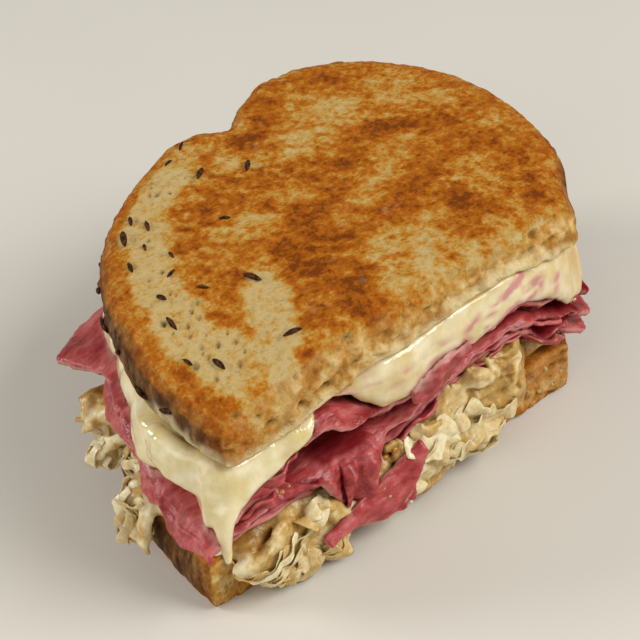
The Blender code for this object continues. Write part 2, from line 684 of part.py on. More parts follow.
def hanging_leaf(collection, finish):
    """A loose pointed slice of beef that hangs in front of the sauerkraut."""
    bm = bmesh.new()
    bmesh.ops.create_grid(bm, x_segments=9, y_segments=3, size=0.5)
    for vert in bm.verts:
        span = vert.co.x + 0.5
        down = 0.5 - vert.co.y
        widening = 0.10 + 0.90 * smooth(span, 0.0, 0.72)
        width = LEAF_WIDTH * widening * (1.0 - 0.75 * smooth(span, 0.74, 1.0))
        place = LEAF_TIP + span * (LEAF_FAR - LEAF_TIP) + LEAF_FALL * down * width
        place[1] -= 0.7 * math.sin(7.0 * span + 2.0 * down) * down + 0.8 * math.sin(math.pi * down)
        vert.co = place
    bmesh.ops.triangulate(bm, faces=bm.faces)
    leaf = add_object("corned_beef_leaf", bm, finish, collection)
    solidify(leaf, LEAF_THICK)
    return leaf


def beef_scrap(collection, finish):
    """A crumpled scrap of beef stuck on the face of the cheese."""
    bm = bmesh.new()
    bmesh.ops.create_grid(bm, x_segments=7, y_segments=3, size=0.5)
    for vert in bm.verts:
        span = vert.co.x + 0.5
        down = 0.5 - vert.co.y
        slim = 0.35 + 0.65 * math.sin(math.pi * min(span + 0.12, 1.0))
        place = SCRAP_START + span * SCRAP_RUN
        place[2] -= SCRAP_WIDTH * slim * (down - 0.35)
        place[1] += 0.6 * math.sin(9.0 * span + 3.0 * down)
        vert.co = place
    bmesh.ops.triangulate(bm, faces=bm.faces)
    scrap = add_object("corned_beef_scrap", bm, finish, collection)
    solidify(scrap, SCRAP_THICK)
    return scrap


def beef_slices(collection, finish):
    """The three slices that run through the sandwich, from the lowest to the highest."""
    outline = slice_outline(BOTTOM_CUT_Y, FILLING_SHIFT_X)
    at_cut = 1.0 - smooth(outline[:, 1], 0.0, 8.0)
    flap = share_near(outline, -52.0, 6.0, 10.0, 4)
    lower = beef_slice("corned_beef_lower",
                       height=lambda plan: level(KRAUT_TOP, plan) + LOOSE + BEEF_THICK / 2.0,
                       rim=-1.5 + 2.5 * at_cut, tongues=LOWER_TONGUES,
                       seed=1.0, finish=finish, collection=collection)
    middle = beef_slice("corned_beef_middle",
                        height=lambda plan: level(BEEF_MIDDLE, plan),
                        rim=-1.5 + 3.5 * at_cut, tongues=MIDDLE_TONGUES,
                        seed=5.0, finish=finish, collection=collection)
    upper = beef_slice("corned_beef_upper",
                       height=lambda plan: level(BEEF_ROOF, plan) - BEEF_THICK / 2.0,
                       rim=-1.5 + 3.0 * at_cut + flap, tongues=UPPER_TONGUES,
                       seed=9.0, finish=finish, collection=collection)
    return lower, middle, upper


def settle(collection):
    """Move every piece so that the middle of the sandwich's underside is the origin."""
    bpy.context.view_layer.update()
    graph = bpy.context.evaluated_depsgraph_get()
    places = []
    for obj in collection.objects:
        mesh = obj.evaluated_get(graph).data
        places.extend(vert.co.copy() for vert in mesh.vertices)
    places = np.array(places)
    low, high = places.min(axis=0), places.max(axis=0)
    shift = Vector((-(low[0] + high[0]) / 2.0, -(low[1] + high[1]) / 2.0, -low[2]))
    for obj in collection.objects:
        obj.location = shift


def build():
    """Make the sandwich and settle it on the origin."""
    for obj in list(bpy.data.objects):
        bpy.data.objects.remove(obj)
    sandwich = bpy.data.collections.new("reuben_sandwich")
    cutters = bpy.data.collections.new("cutters")
    bpy.context.scene.collection.children.link(sandwich)
    bpy.context.scene.collection.children.link(cutters)

    rye = material("toasted_rye", (0.55, 0.27, 0.07), 0.75)
    beef = material("corned_beef", (0.45, 0.09, 0.10), 0.45, 0.2)

    bottom = bottom_bread(sandwich, rye)
    top = top_bread(sandwich, rye)
    lower, middle, upper = beef_slices(sandwich, beef)
    leaf = hanging_leaf(sandwich, beef)
    scrap = beef_scrap(sandwich, beef)
    cheese = melted_cheese(sandwich, material("melted_cheese", (0.83, 0.77, 0.56), 0.3, 0.2))
    kraut = sauerkraut(sandwich, material("sauerkraut", (0.68, 0.55, 0.30), 0.4, 0.3))

    for obj, neighbours in (
        (middle, (upper, leaf)),
        (lower, (upper, middle)),
        (scrap, (upper, middle)),
        (cheese, (top, upper, middle, scrap)),
        (kraut, (bottom, upper, middle, lower, leaf)),
    ):
        for neighbour in neighbours:
            carve(obj, neighbour, cutters)
    settle(sandwich)


build()
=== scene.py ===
"""Looks of half a toasted reuben: rye, sauerkraut, folded corned beef and melted cheese.

Every solid of the frame is dressed by a finer piece of the same form. Sizes and places are in
millimetres in the sandwich's own plan, where y = 0 is the knife cut of the bottom slice, x runs
along that cut and z = 0 is the underside. They are turned to metres when a mesh is written.
"""

import sys
import itertools
import json
import logging
import math
import random
from dataclasses import dataclass
from enum import Enum
from typing import Any, Iterable, Iterator, Sequence

import bpy
import numpy as np
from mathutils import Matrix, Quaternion, Vector
from mathutils.bvhtree import BVHTree

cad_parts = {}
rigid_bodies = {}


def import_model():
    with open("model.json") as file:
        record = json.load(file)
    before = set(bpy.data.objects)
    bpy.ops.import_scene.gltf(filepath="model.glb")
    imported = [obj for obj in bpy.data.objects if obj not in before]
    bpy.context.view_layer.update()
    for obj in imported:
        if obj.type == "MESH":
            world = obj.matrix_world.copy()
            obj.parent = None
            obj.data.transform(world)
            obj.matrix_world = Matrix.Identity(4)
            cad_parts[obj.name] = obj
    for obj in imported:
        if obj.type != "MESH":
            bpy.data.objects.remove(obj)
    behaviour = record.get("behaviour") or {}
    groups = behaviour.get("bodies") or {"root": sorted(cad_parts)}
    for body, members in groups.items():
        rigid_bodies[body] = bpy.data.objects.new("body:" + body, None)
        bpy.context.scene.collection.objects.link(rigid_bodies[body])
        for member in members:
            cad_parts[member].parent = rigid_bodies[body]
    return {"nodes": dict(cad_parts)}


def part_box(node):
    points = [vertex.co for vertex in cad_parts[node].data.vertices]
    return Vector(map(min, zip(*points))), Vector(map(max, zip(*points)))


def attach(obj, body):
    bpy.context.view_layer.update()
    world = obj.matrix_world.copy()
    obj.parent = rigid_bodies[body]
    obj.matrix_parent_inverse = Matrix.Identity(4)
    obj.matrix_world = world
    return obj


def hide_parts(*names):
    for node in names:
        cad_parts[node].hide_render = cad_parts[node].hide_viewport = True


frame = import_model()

LOG = logging.getLogger("reuben")
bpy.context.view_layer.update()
BODY = "root"
MM = 0.001
BREAD_LOW = (-53.386, -0.394)     # least x and y of the bottom slice in plan
BOTTOM_CUT_Y = 0.0
TOP_CUT_Y = -4.5
TOP_FACE = 50.0                   # height of the toasted face near the cut
FRONT_Y = -30.0                   # clear of all that hangs out at the front: rays inward start here
INWARD = Vector((0.0, 1.0, 0.0))
UP = Vector((0.0, 0.0, 1.0))


class Node(str, Enum):
    """The solids of the frame."""

    BOTTOM_BREAD = "bottom_bread"
    TOP_BREAD = "top_bread"
    BEEF_LOWER = "corned_beef_lower"
    BEEF_MIDDLE = "corned_beef_middle"
    BEEF_UPPER = "corned_beef_upper"
    BEEF_LEAF = "corned_beef_leaf"
    BEEF_SCRAP = "corned_beef_scrap"
    CHEESE = "melted_cheese"
    KRAUT = "sauerkraut"


class Slot(str, Enum):
    """The record's material slots."""

    RYE = "toasted_rye"
    BEEF = "corned_beef"
    CHEESE = "melted_cheese"
    KRAUT = "sauerkraut"


def plan_shift() -> np.ndarray:
    """The shift from plan places to frame places, in millimetres, found by the bottom slice's box."""
    low = np.array(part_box(Node.BOTTOM_BREAD.value)[0]) / MM
    return np.array((low[0] - BREAD_LOW[0], low[1] - BREAD_LOW[1], 0.0))


SHIFT = plan_shift()


def smooth(value: Any, low: float, high: float) -> np.ndarray:
    """0 at low, 1 at high and an easy curve between."""
    part = np.clip((np.asarray(value, float) - low) / (high - low), 0.0, 1.0)
    return part * part * (3.0 - 2.0 * part)


def turned(flat: np.ndarray, degrees: float) -> tuple[np.ndarray, np.ndarray]:
    """How far places in a plane lie along and across a direction in it."""
    turn = math.radians(degrees)
    along = flat[:, 0] * math.cos(turn) + flat[:, 1] * math.sin(turn)
    across = -flat[:, 0] * math.sin(turn) + flat[:, 1] * math.cos(turn)
    return along, across


def lattice(cells: np.ndarray, seed: int) -> np.ndarray:
    """A number from 0 to 1 for each whole-numbered cell, the same in every run."""
    mixed = cells[:, 0] * 73856093 ^ cells[:, 1] * 19349663 ^ cells[:, 2] * 83492791 ^ seed * 2654435761
    mixed = (mixed ^ (mixed >> 13)) * 1274126177 & 0x7FFFFFFF
    mixed = (mixed ^ (mixed >> 15)) * 1103515245 & 0x7FFFFFFF
    return mixed / 0x7FFFFFFF


def ripple(points: np.ndarray, size: float | Sequence[float], seed: int) -> np.ndarray:
    """Smooth noise over points.

    Args:
        points: places in millimetres.
        size: width of a wave in millimetres, or one for each axis.
        seed: which noise.

    Returns:
        Values of about -1 to 1.
    """
    scaled = points / np.asarray(size, float) + 31.7 * seed
    cells = np.floor(scaled).astype(np.int64)
    part = scaled - cells
    part = part * part * (3.0 - 2.0 * part)
    total = np.zeros(len(points))
    for corner in itertools.product((0, 1), repeat=3):
        weight = np.prod(np.where(np.array(corner, bool), part, 1.0 - part), axis=1)
        total += weight * lattice(cells + corner, seed)
    return 2.0 * total - 1.0


def holes(points: np.ndarray, size: float | Sequence[float], share: float, seed: int) -> np.ndarray:
    """Scattered round hollows, such as the pores of a crumb.

    Args:
        points: places in millimetres.
        size: spacing of the hollows in millimetres, or one for each axis.
        share: how many of the possible hollows are there.
        seed: which pattern.

    Returns:
        Depth from 0 outside to 1 in the middle of a hollow.
    """
    scaled = points / np.asarray(size, float) + 17.3 * seed
    cells = np.floor(scaled).astype(np.int64)
    depth = np.zeros(len(points))
    for offset in itertools.product((-1, 0, 1), repeat=3):
        cell = cells + offset
        jitter = np.c_[lattice(cell, seed), lattice(cell, seed + 1), lattice(cell, seed + 2)]
        middle = cell + 0.15 + 0.7 * jitter
        there = lattice(cell, seed + 3)
        radius = 0.18 + 0.4 * lattice(cell, seed + 4) ** 2
        distance = np.linalg.norm(scaled - middle, axis=1) / radius
        hollow = np.where(there < share, 1.0 - smooth(distance, 0.35, 1.0), 0.0)
        depth = np.maximum(depth, hollow)
    return depth


def clear_selection() -> None:
    """Deselect every object."""
    for obj in bpy.context.view_layer.objects:
        obj.select_set(False)


def primitive(kind: str, **settings: Any) -> tuple[list[list[float]], list[tuple[int, ...]]]:
    """Vertices and faces of one of Blender's primitives, to be copied.

    Args:
        kind: the middle of the operator's name.
        settings: what the operator takes.

    Returns:
        Places about the middle, and the numbers of each face's corners.
    """
    clear_selection()
    getattr(bpy.ops.mesh, f"primitive_{kind}_add")(**settings)
    obj = bpy.context.active_object
    points = [list(vert.co) for vert in obj.data.vertices]
    faces = [tuple(polygon.vertices) for polygon in obj.data.polygons]
    bpy.data.objects.remove(obj)
    return points, faces


def tree_of(pieces: Sequence["Piece"]) -> BVHTree:
    """One tree of the faces of several pieces, in plan millimetres."""
    points: list[list[float]] = []
    faces: list[tuple[int, ...]] = []
    for piece in pieces:
        base = len(points)
        points.extend(piece.points().tolist())
        faces.extend(tuple(base + corner for corner in polygon.vertices)
                     for polygon in piece.obj.data.polygons)
    return BVHTree.FromPolygons(points, faces)


def seen_from_cut(trees: Sequence[BVHTree], x: float, z: float) -> tuple[Vector, Vector] | None:
    """The foremost place at an x and z, with its outward direction, or None where nothing lies."""
    hits = [tree.ray_cast(Vector((x, FRONT_Y, z)), INWARD)[:2] for tree in trees]
    return min((hit for hit in hits if hit[0] is not None), key=lambda hit: hit[0].y, default=None)


class Piece:
    """A shown piece while it is shaped and dressed."""

    def __init__(self, obj: bpy.types.Object) -> None:
        """Take over an object whose place is in its mesh."""
        self.obj = obj

    @classmethod
    def from_node(cls, node: Node, name: str) -> "Piece":
        """Copy a solid of the frame and merge its loose triangles.

        Args:
            node: the solid.
            name: name of the new piece.

        Returns:
            The piece, of the solid's form.
        """
        mesh = frame["nodes"][node.value].data.copy()
        mesh.materials.clear()
        mesh.name = name
        obj = bpy.data.objects.new(name, mesh)
        bpy.context.scene.collection.objects.link(obj)
        piece = cls(obj)
        piece.take_up()
        bpy.ops.object.mode_set(mode="EDIT")
        bpy.ops.mesh.select_all(action="SELECT")
        bpy.ops.mesh.remove_doubles(threshold=0.01 * MM)
        bpy.ops.object.mode_set(mode="OBJECT")
        return piece

    @classmethod
    def from_faces(cls, name: str, points: Iterable[Sequence[float]],
                   faces: Sequence[Sequence[int]]) -> "Piece":
        """Make a piece from places in the plan and faces."""
        mesh = bpy.data.meshes.new(name)
        places = np.array([tuple(point) for point in points])
        mesh.from_pydata(((places + SHIFT) * MM).tolist(), [], faces)
        obj = bpy.data.objects.new(name, mesh)
        bpy.context.scene.collection.objects.link(obj)
        return cls(obj)

    @classmethod
    def from_copies(cls, name: str, copies: Sequence[Sequence[Vector]],
                    faces: Sequence[Sequence[int]]) -> "Piece":
        """Make a piece from copies of one shape.

        Args:
            name: name of the new piece.
            copies: each copy's vertices, as places in the plan.
            faces: the faces of the one shape.

        Returns:
            The piece, with all the copies in its mesh.
        """
        joined = [tuple(number * len(copy) + corner for corner in face)
                  for number, copy in enumerate(copies) for face in faces]
        return cls.from_faces(name, itertools.chain.from_iterable(copies), joined)

    def take_up(self) -> None:
        """Make this the one selected and active object."""
        clear_selection()
        self.obj.select_set(True)
        bpy.context.view_layer.objects.active = self.obj

    def modify(self, kind: str, **settings: Any) -> None:
        """Add a modifier and apply it.

        Args:
            kind: Blender's name of the modifier's type.
            settings: its settings.
        """
        modifier = self.obj.modifiers.new(kind.lower(), kind)
        for name, value in settings.items():
            setattr(modifier, name, value)
        self.take_up()
        bpy.ops.object.modifier_apply(modifier=modifier.name)

    def join(self, *others: "Piece") -> None:
        """Take other pieces into this one."""
        self.take_up()
        for other in others:
            other.obj.select_set(True)
        bpy.ops.object.join()

    def remesh(self, cell: float, rounds: int) -> None:
        """Skin the piece evenly and take the facets off.

        Args:
            cell: width of a face in millimetres.
            rounds: rounds of smoothing.
        """
        self.modify("REMESH", mode="VOXEL", voxel_size=cell * MM)
        self.modify("SMOOTH", factor=0.5, iterations=rounds)

    def read(self, name: str) -> np.ndarray:
        """A property of the vertices that has three numbers for each."""
        flat = np.empty(3 * len(self.obj.data.vertices), np.float32)
        self.obj.data.vertices.foreach_get(name, flat)
        return flat.reshape(-1, 3).astype(float)

    def points(self) -> np.ndarray:
        """Vertices as places in the plan."""
        return self.read("co") / MM - SHIFT

    def normals(self) -> np.ndarray:
        """Outward direction at each vertex."""
        return self.read("normal")

    def move_to(self, points: np.ndarray) -> None:
        """Put the vertices at new places in the plan."""
        flat = ((points + SHIFT) * MM).astype(np.float32).ravel()
        self.obj.data.vertices.foreach_set("co", flat)
        self.obj.data.update()

    def mark(self, name: str, values: np.ndarray) -> None:
        """Keep one number for each vertex, for the finish to read."""
        attribute = self.obj.data.attributes.new(name, "FLOAT", "POINT")
        attribute.data.foreach_set("value", np.clip(values, 0.0, 1.0).astype(np.float32))

    def distance_to(self, others: Sequence["Piece"], reach: float) -> np.ndarray:
        """Distance from each vertex to the nearest of other pieces, up to a reach in millimetres."""
        near = np.full(len(self.obj.data.vertices), reach)
        for other in others:
            tree = other.tree()
            for number, place in enumerate(self.points()):
                distance = tree.find_nearest(Vector(place), near[number])[3]
                if distance is not None:
                    near[number] = distance
        return near

    def shut_in(self, tree: BVHTree, reach: float) -> np.ndarray:
        """How shut in the showing vertices are.

        Args:
            tree: everything round them.
            reach: how near it counts, in millimetres.

        Returns:
            0 in the open to 1 in a crevice, for the vertices near the cut or the left side.
        """
        lean, clear, front_depth, left_side = 0.9, 0.12, 4.0, -44.0
        spread = [Vector(way) for way in
                  ((0, 0, 0), (lean, 0, 0), (-lean, 0, 0), (0, 0, lean), (0, 0, -lean))]
        points, normals = self.points(), self.normals()
        shut = np.zeros(len(points))
        for number in np.flatnonzero((points[:, 1] < front_depth) | (points[:, 0] < left_side)):
            normal = Vector(normals[number])
            start = Vector(points[number]) + clear * normal
            for way in spread:
                distance = tree.ray_cast(start, (normal + way).normalized(), reach)[3]
                if distance is not None:
                    shut[number] += (1.0 - distance / reach) / len(spread)
        return shut

    def tree(self) -> BVHTree:
        """A tree of the piece's faces, in plan millimetres."""
        return tree_of([self])

    def depth(self, reach: float) -> np.ndarray:
        """Distance through the piece behind each vertex, up to a reach in millimetres."""
        clear = 0.05
        tree = self.tree()
        depths = np.full(len(self.obj.data.vertices), reach)
        for number, (place, normal) in enumerate(zip(self.points(), self.normals())):
            inward = -Vector(normal)
            distance = tree.ray_cast(Vector(place) + clear * inward, inward, reach)[3]
            if distance is not None:
                depths[number] = distance
        return depths

    def finish(self, material: bpy.types.Material, slot: Slot | None, *nodes: Node) -> None:
        """Dress the piece and put it on the frame.

        Args:
            material: its finish.
            slot: not used.
            nodes: the solids that it stands for.
        """
        self.obj.data.materials.clear()
        self.obj.data.materials.append(material)
        self.take_up()
        bpy.ops.object.shade_smooth()
        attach(self.obj, BODY)
        if nodes:
            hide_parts(*[node.value for node in nodes])
        LOG.info("%s: %d faces", self.obj.name, len(self.obj.data.polygons))


def srgb(code: str) -> tuple[float, float, float, float]:
    """Linear colour of an sRGB hex code such as "#A0522D"."""
    parts = [int(code[i:i + 2], 16) / 255.0 for i in (1, 3, 5)]
    linear = [part / 12.92 if part <= 0.04045 else ((part + 0.055) / 1.055) ** 2.4 for part in parts]
    return (*linear, 1.0)


class Surface:
    """A material under construction: its node tree, its shader and the place on the piece."""

    def __init__(self, name: str) -> None:
        """Start a material with a Principled shader and object coordinates in millimetres."""
        self.material = bpy.data.materials.new(name)
        self.material.use_nodes = True
        self.nodes = self.material.node_tree.nodes
        self.links = self.material.node_tree.links
        place = self.add("ShaderNodeTexCoord", out="Object")
        self.place = self.add("ShaderNodeMapping", {"Vector": place, "Scale": (1.0 / MM,) * 3})

    def add(self, kind: str, inputs: dict[Any, Any] | None = None, stops: Iterable[tuple[float, str]] = (),
            out: int | str = 0, **settings: Any) -> bpy.types.NodeSocket:
        """Add a node with its settings and links.

        Args:
            kind: Blender's name of the node's type.
            inputs: a value or an output socket for each named or numbered input.
            stops: places and sRGB codes of a colour ramp.
            out: which output is wanted.
            settings: the node's own settings.

        Returns:
            The wanted output socket.
        """
        node = self.nodes.new(kind)
        for name, value in settings.items():
            setattr(node, name, value)
        self.connect(node, inputs or {})
        for number, (place, code) in enumerate(stops):
            ramp = node.color_ramp.elements
            element = ramp[number] if number < 2 else ramp.new(place)
            element.position = place
            element.color = srgb(code)
        return node.outputs[out]

    def connect(self, node: bpy.types.Node, inputs: dict[Any, Any]) -> None:
        """Give a node's inputs their values or link them."""
        for key, value in inputs.items():
            if isinstance(value, bpy.types.NodeSocket):
                self.links.new(value, node.inputs[key])
            else:
                node.inputs[key].default_value = value

    def finish(self, height: Any, depth: float, **inputs: Any) -> bpy.types.Material:
        """Complete the shader.

        Args:
            height: relief too fine for the mesh, as an output socket.
            depth: its depth in millimetres.
            inputs: the shader's inputs, named with _ for a space.

        Returns:
            The material.
        """
        relief = self.add("ShaderNodeBump", {"Height": height, "Distance": depth * MM, "Strength": 1.0})
        named = {name.replace("_", " "): value for name, value in inputs.items()}
        self.connect(self.nodes["Principled BSDF"], {"Normal": relief, **named})
        return self.material


Ramp = tuple[tuple[float, str], ...]
NOISE, MIX, MATH, RAMP = "ShaderNodeTexNoise", "ShaderNodeMix", "ShaderNodeMath", "ShaderNodeValToRGB"
MARK, TURN, SPREAD = "ShaderNodeAttribute", "ShaderNodeMapping", "ShaderNodeMapRange"
SHARE, UNDER, OVER, MIXED = 0, 6, 7, 2     # sockets of the mix node when it mixes colours


@dataclass(frozen=True)
class ToastedRye:
    """Rye griddled in butter: a crisp browned face, a dull crust and a sawn crumb with pores."""

    toast: Ramp = (
        (0.0, "#C3A971"), (1.0, "#743802"), (0.2, "#BF9851"), (0.38, "#B9812D"),
        (0.56, "#AF640E"), (0.78, "#9A4F04"),
    )
    crust: Ramp = ((0.34, "#3A200C"), (0.68, "#8A6238"), (0.5, "#5E3C1C"))
    crumb: Ramp = ((0.36, "#A26E2A"), (0.66, "#D9BC82"), (0.5, "#C0924B"))
    # Colour of the shade painted in the pores.
    pore_shade: str = "#6E5026"
    glaze: str = "#A95F18"
    cheese: str = "#E4D5A4"

    def material(self) -> bpy.types.Material:
        """Build the finish. The griddle browned what stands proud, butter gives it a low gloss, and shade is
        painted dark in the pores.
        """
        surface = Surface("rye_griddled_in_butter")
        add, place = surface.add, surface.place
        marks = {name: add(MARK, attribute_name=name, out="Fac")
                 for name in ("toast", "crumb", "crust", "pore_shade", "smear", "glaze")}
        # Browned specks are a few tenths of a millimetre; they are drawn 0.7 mm wide, so that they show.
        fine, torn, speck = (
            add(NOISE, {"Vector": place, "Scale": 1.0 / width, "Detail": detail, "Roughness": uneven})
            for width, detail, uneven in ((1.6, 5.0, 0.6), (2.4, 5.0, 0.5), (0.7, 2.0, 0.5)))
        upright = add(TURN, {"Vector": place, "Scale": (1.0, 1.0, 0.35)})
        bark = add(NOISE, {"Vector": upright, "Scale": 1.0 / 1.8, "Detail": 5.0})
        value = add(MATH, {0: fine, 1: 1.3, 2: marks["toast"]}, operation="MULTIPLY_ADD")
        value = add(MATH, {0: speck, 1: 0.6, 2: value}, operation="MULTIPLY_ADD")
        value = add(MATH, {0: value, 1: 0.95}, operation="SUBTRACT")
        colour, crumb, crust = (add(RAMP, {0: factor}, stops=stops) for factor, stops in
                                ((value, self.toast), (torn, self.crumb), (bark, self.crust)))
        # Painted shade: the dark colour goes into the pores by how deep each vertex lies in them.
        pore_shade = add(MATH, {0: marks["pore_shade"], 1: 0.7}, operation="MULTIPLY")
        glazed = add(MATH, {0: marks["glaze"], 1: torn}, operation="MULTIPLY")
        layers = ((marks["crumb"], crumb), (marks["crust"], crust), (pore_shade, srgb(self.pore_shade)),
                  (marks["smear"], srgb(self.cheese)), (glazed, srgb(self.glaze)))
        for share, over in layers:
            colour = add(MIX, {SHARE: share, UNDER: colour, OVER: over}, out=MIXED, data_type="RGBA")
        gloss = add(SPREAD, {"Value": fine, "From Min": 0.35, "From Max": 0.65, "To Min": 0.5, "To Max": 0.8})
        gloss = add(MATH, {0: glazed, 1: -0.5, 2: gloss}, operation="MULTIPLY_ADD")
        height = add(MATH, {0: speck, 1: 0.5, 2: fine}, operation="MULTIPLY_ADD")
        return surface.finish(height, 0.6, Base_Color=colour, Roughness=gloss, IOR=1.45,
                              Specular_IOR_Level=0.14, Subsurface_Weight=0.08,
                              Subsurface_Radius=(1.0, 0.55, 0.25), Subsurface_Scale=0.8 * MM)


@dataclass(frozen=True)
class CornedBeef:
    """Cured brisket, boiled and sliced thin: moist rose meat with a fine grain and paler cut edges."""

    meat: Ramp = ((0.34, "#882126"), (0.66, "#C86A65"), (0.5, "#AC4342"))
    rim: str = "#D69C94"
    # Colour of the shade painted in the hollows and crevices among the beef.
    hollow: str = "#6A1016"
    fat: str = "#D6A798"
    film: str = "#D6BCAE"

    def material(self) -> bpy.types.Material:
        """Build the finish. Brine keeps it glossy, cheese leaves a milky film where it touches, and shade is
        painted dark red in the hollows and crevices.
        """
        surface = Surface("corned_beef_sliced_thin")
        add, place = surface.add, surface.place
        edge, touch, painted_shade_mark = (add(MARK, attribute_name=name, out="Fac") for name in ("edge", "film", "deep"))
        # The meat's fibres are a third of a millimetre thick; they are drawn 1.3 mm, so that they show.
        along = add(TURN, {"Vector": place, "Scale": (0.4, 1.0, 1.0)})
        grain, veins, clouds = (
            add(NOISE, {"Vector": space, "Scale": 1.0 / width, "Detail": detail})
            for space, width, detail in ((along, 1.3, 5.0), (along, 3.4, 3.0), (place, 6.0, 2.0)))
        tone = add(MATH, {0: grain, 1: 0.5}, operation="MULTIPLY")
        tone = add(MATH, {0: clouds, 1: 0.5, 2: tone}, operation="MULTIPLY_ADD")
        colour = add(RAMP, {0: tone}, stops=self.meat)
        streaks = add(SPREAD, {"Value": veins, "From Min": 0.6, "From Max": 0.78, "To Max": 0.3})
        rim = add(MATH, {0: edge, 1: 0.65}, operation="MULTIPLY")
        film = add(MATH, {0: touch, 1: 0.85}, operation="MULTIPLY")
        bare = add(MATH, {0: edge, 1: -0.4, 2: 0.88}, operation="MULTIPLY_ADD")
        # Painted shade: the dark red goes in by the deep mark, less on the cut edges.
        deep = add(MATH, {0: painted_shade_mark, 1: bare}, operation="MULTIPLY")
        for share, over in ((streaks, self.fat), (rim, self.rim), (film, self.film), (deep, self.hollow)):
            colour = add(MIX, {SHARE: share, UNDER: colour, OVER: srgb(over)}, out=MIXED, data_type="RGBA")
        gloss = add(SPREAD, {"Value": clouds, "From Min": 0.35, "From Max": 0.65, "To Min": 0.2,
                             "To Max": 0.42})
        shine = add(MATH, {0: deep, 1: -0.62, 2: 0.5}, operation="MULTIPLY_ADD", use_clamp=True)
        return surface.finish(grain, 0.45, Base_Color=colour, Roughness=gloss, IOR=1.42,
                              Specular_IOR_Level=shine, Subsurface_Weight=0.3,
                              Subsurface_Radius=(1.0, 0.3, 0.22), Subsurface_Scale=1.4 * MM)


@dataclass(frozen=True)
class MeltedCheese:
    """Swiss cheese melted under the griddle: smooth, cream and glossy, and pink where thin over beef."""

    body: Ramp = ((0.38, "#DAC88E"), (0.64, "#EADEB8"))
    tint: str = "#C4747A"
    oil: str = "#CDAC70"

    def material(self) -> bpy.types.Material:
        """Build the finish. Light soaks in, and the oil on it shines."""
        surface = Surface("swiss_cheese_melted")
        add, place = surface.add, surface.place
        clouds, dimples = (add(NOISE, {"Vector": place, "Scale": 1.0 / width, "Detail": 3.0})
                           for width in (5.0, 2.4))
        colour = add(RAMP, {0: clouds}, stops=self.body)
        oily, thin = (add(MATH, {0: add(MARK, attribute_name=name, out="Fac"), 1: most}, operation="MULTIPLY")
                      for name, most in (("oil", 0.75), ("tint", 0.85)))
        for share, over in ((oily, self.oil), (thin, self.tint)):
            colour = add(MIX, {SHARE: share, UNDER: colour, OVER: srgb(over)}, out=MIXED, data_type="RGBA")
        wet = add(MATH, {0: oily, 1: -0.9, 2: 0.7}, operation="MULTIPLY_ADD", use_clamp=True)
        return surface.finish(dimples, 0.3, Base_Color=colour, Roughness=0.16, IOR=1.5,
                              Coat_Weight=wet, Coat_Roughness=0.07, Subsurface_Weight=0.6,
                              Subsurface_Radius=(1.0, 0.8, 0.5), Subsurface_Scale=2.2 * MM)


@dataclass(frozen=True)
class Sauerkraut:
    """Cabbage fermented in brine and drained: translucent straw shreds, wet and limp."""

    name: str = "sauerkraut_drained"
    soak: float = 1.8
    share: float = 0.6
    shades: Ramp = ((0.1, "#6E4412"), (0.95, "#EDE1B8"), (0.36, "#A67A34"), (0.62, "#C9A762"))

    def material(self) -> bpy.types.Material:
        """Build the finish. Each shred has a tone of its own, which on the mat also carries painted shade in
        its creases, and brine makes it shine.
        """
        surface = Surface(self.name)
        add, place = surface.add, surface.place
        ribs = add(NOISE, {"Vector": place, "Scale": 1.0 / 1.4, "Detail": 3.0})
        tone = add(MARK, attribute_name="tone", out="Fac")
        tone = add(MATH, {0: ribs, 1: 0.5, 2: tone}, operation="MULTIPLY_ADD")
        tone = add(MATH, {0: tone, 1: 0.25}, operation="SUBTRACT")
        return surface.finish(ribs, 0.3, Base_Color=add(RAMP, {0: tone}, stops=self.shades), Roughness=0.24,
                              IOR=1.38, Subsurface_Weight=self.share, Subsurface_Radius=(1.0, 0.8, 0.45),
                              Subsurface_Scale=self.soak * MM)


@dataclass(frozen=True)
class Dressing:
    """Russian dressing soaked out of the filling: an oily orange film."""

    shades: Ramp = ((0.35, "#B4701F"), (0.65, "#D39A45"))

    def material(self) -> bpy.types.Material:
        """Build the finish. Oil makes it glossy, and light passes into it."""
        surface = Surface("russian_dressing_film")
        clouds = surface.add(NOISE, {"Vector": surface.place, "Scale": 1.0 / 1.5, "Detail": 3.0})
        return surface.finish(clouds, 0.2, Base_Color=surface.add(RAMP, {0: clouds}, stops=self.shades),
                              Roughness=0.2, IOR=1.45, Subsurface_Weight=0.4,
                              Subsurface_Radius=(1.0, 0.6, 0.2), Subsurface_Scale=1.2 * MM)


@dataclass(frozen=True)
class Caraway:
    """Caraway baked into the rye: dry, dark brown and ribbed."""

    shades: Ramp = ((0.42, "#241006"), (0.7, "#63381A"))

    def material(self) -> bpy.types.Material:
        """Build the finish. The husk is a little uneven in tone and catches hardly any light."""
        surface = Surface("caraway_seed_baked")
        husk = surface.add(NOISE, {"Vector": surface.place, "Scale": 1.0 / 0.7, "Detail": 2.0})
        return surface.finish(husk, 0.1, Base_Color=surface.add(RAMP, {0: husk}, stops=self.shades),
                              Roughness=0.7, IOR=1.45, Specular_IOR_Level=0.2)


@dataclass(frozen=True)
class FloorPaint:
    """The studio floor: pale, plain and matt."""

    shades: Ramp = ((0.0, "#D6D1C6"), (1.0, "#DAD5CA"))

    def material(self) -> bpy.types.Material:
        """Build the finish."""
        surface = Surface("studio_floor_paint")
        clouds = surface.add(NOISE, {"Vector": surface.place, "Scale": 1.0 / 60.0, "Detail": 1.0})
        return surface.finish(clouds, 0.01, Base_Color=surface.add(RAMP, {0: clouds}, stops=self.shades),
                              Roughness=0.7)


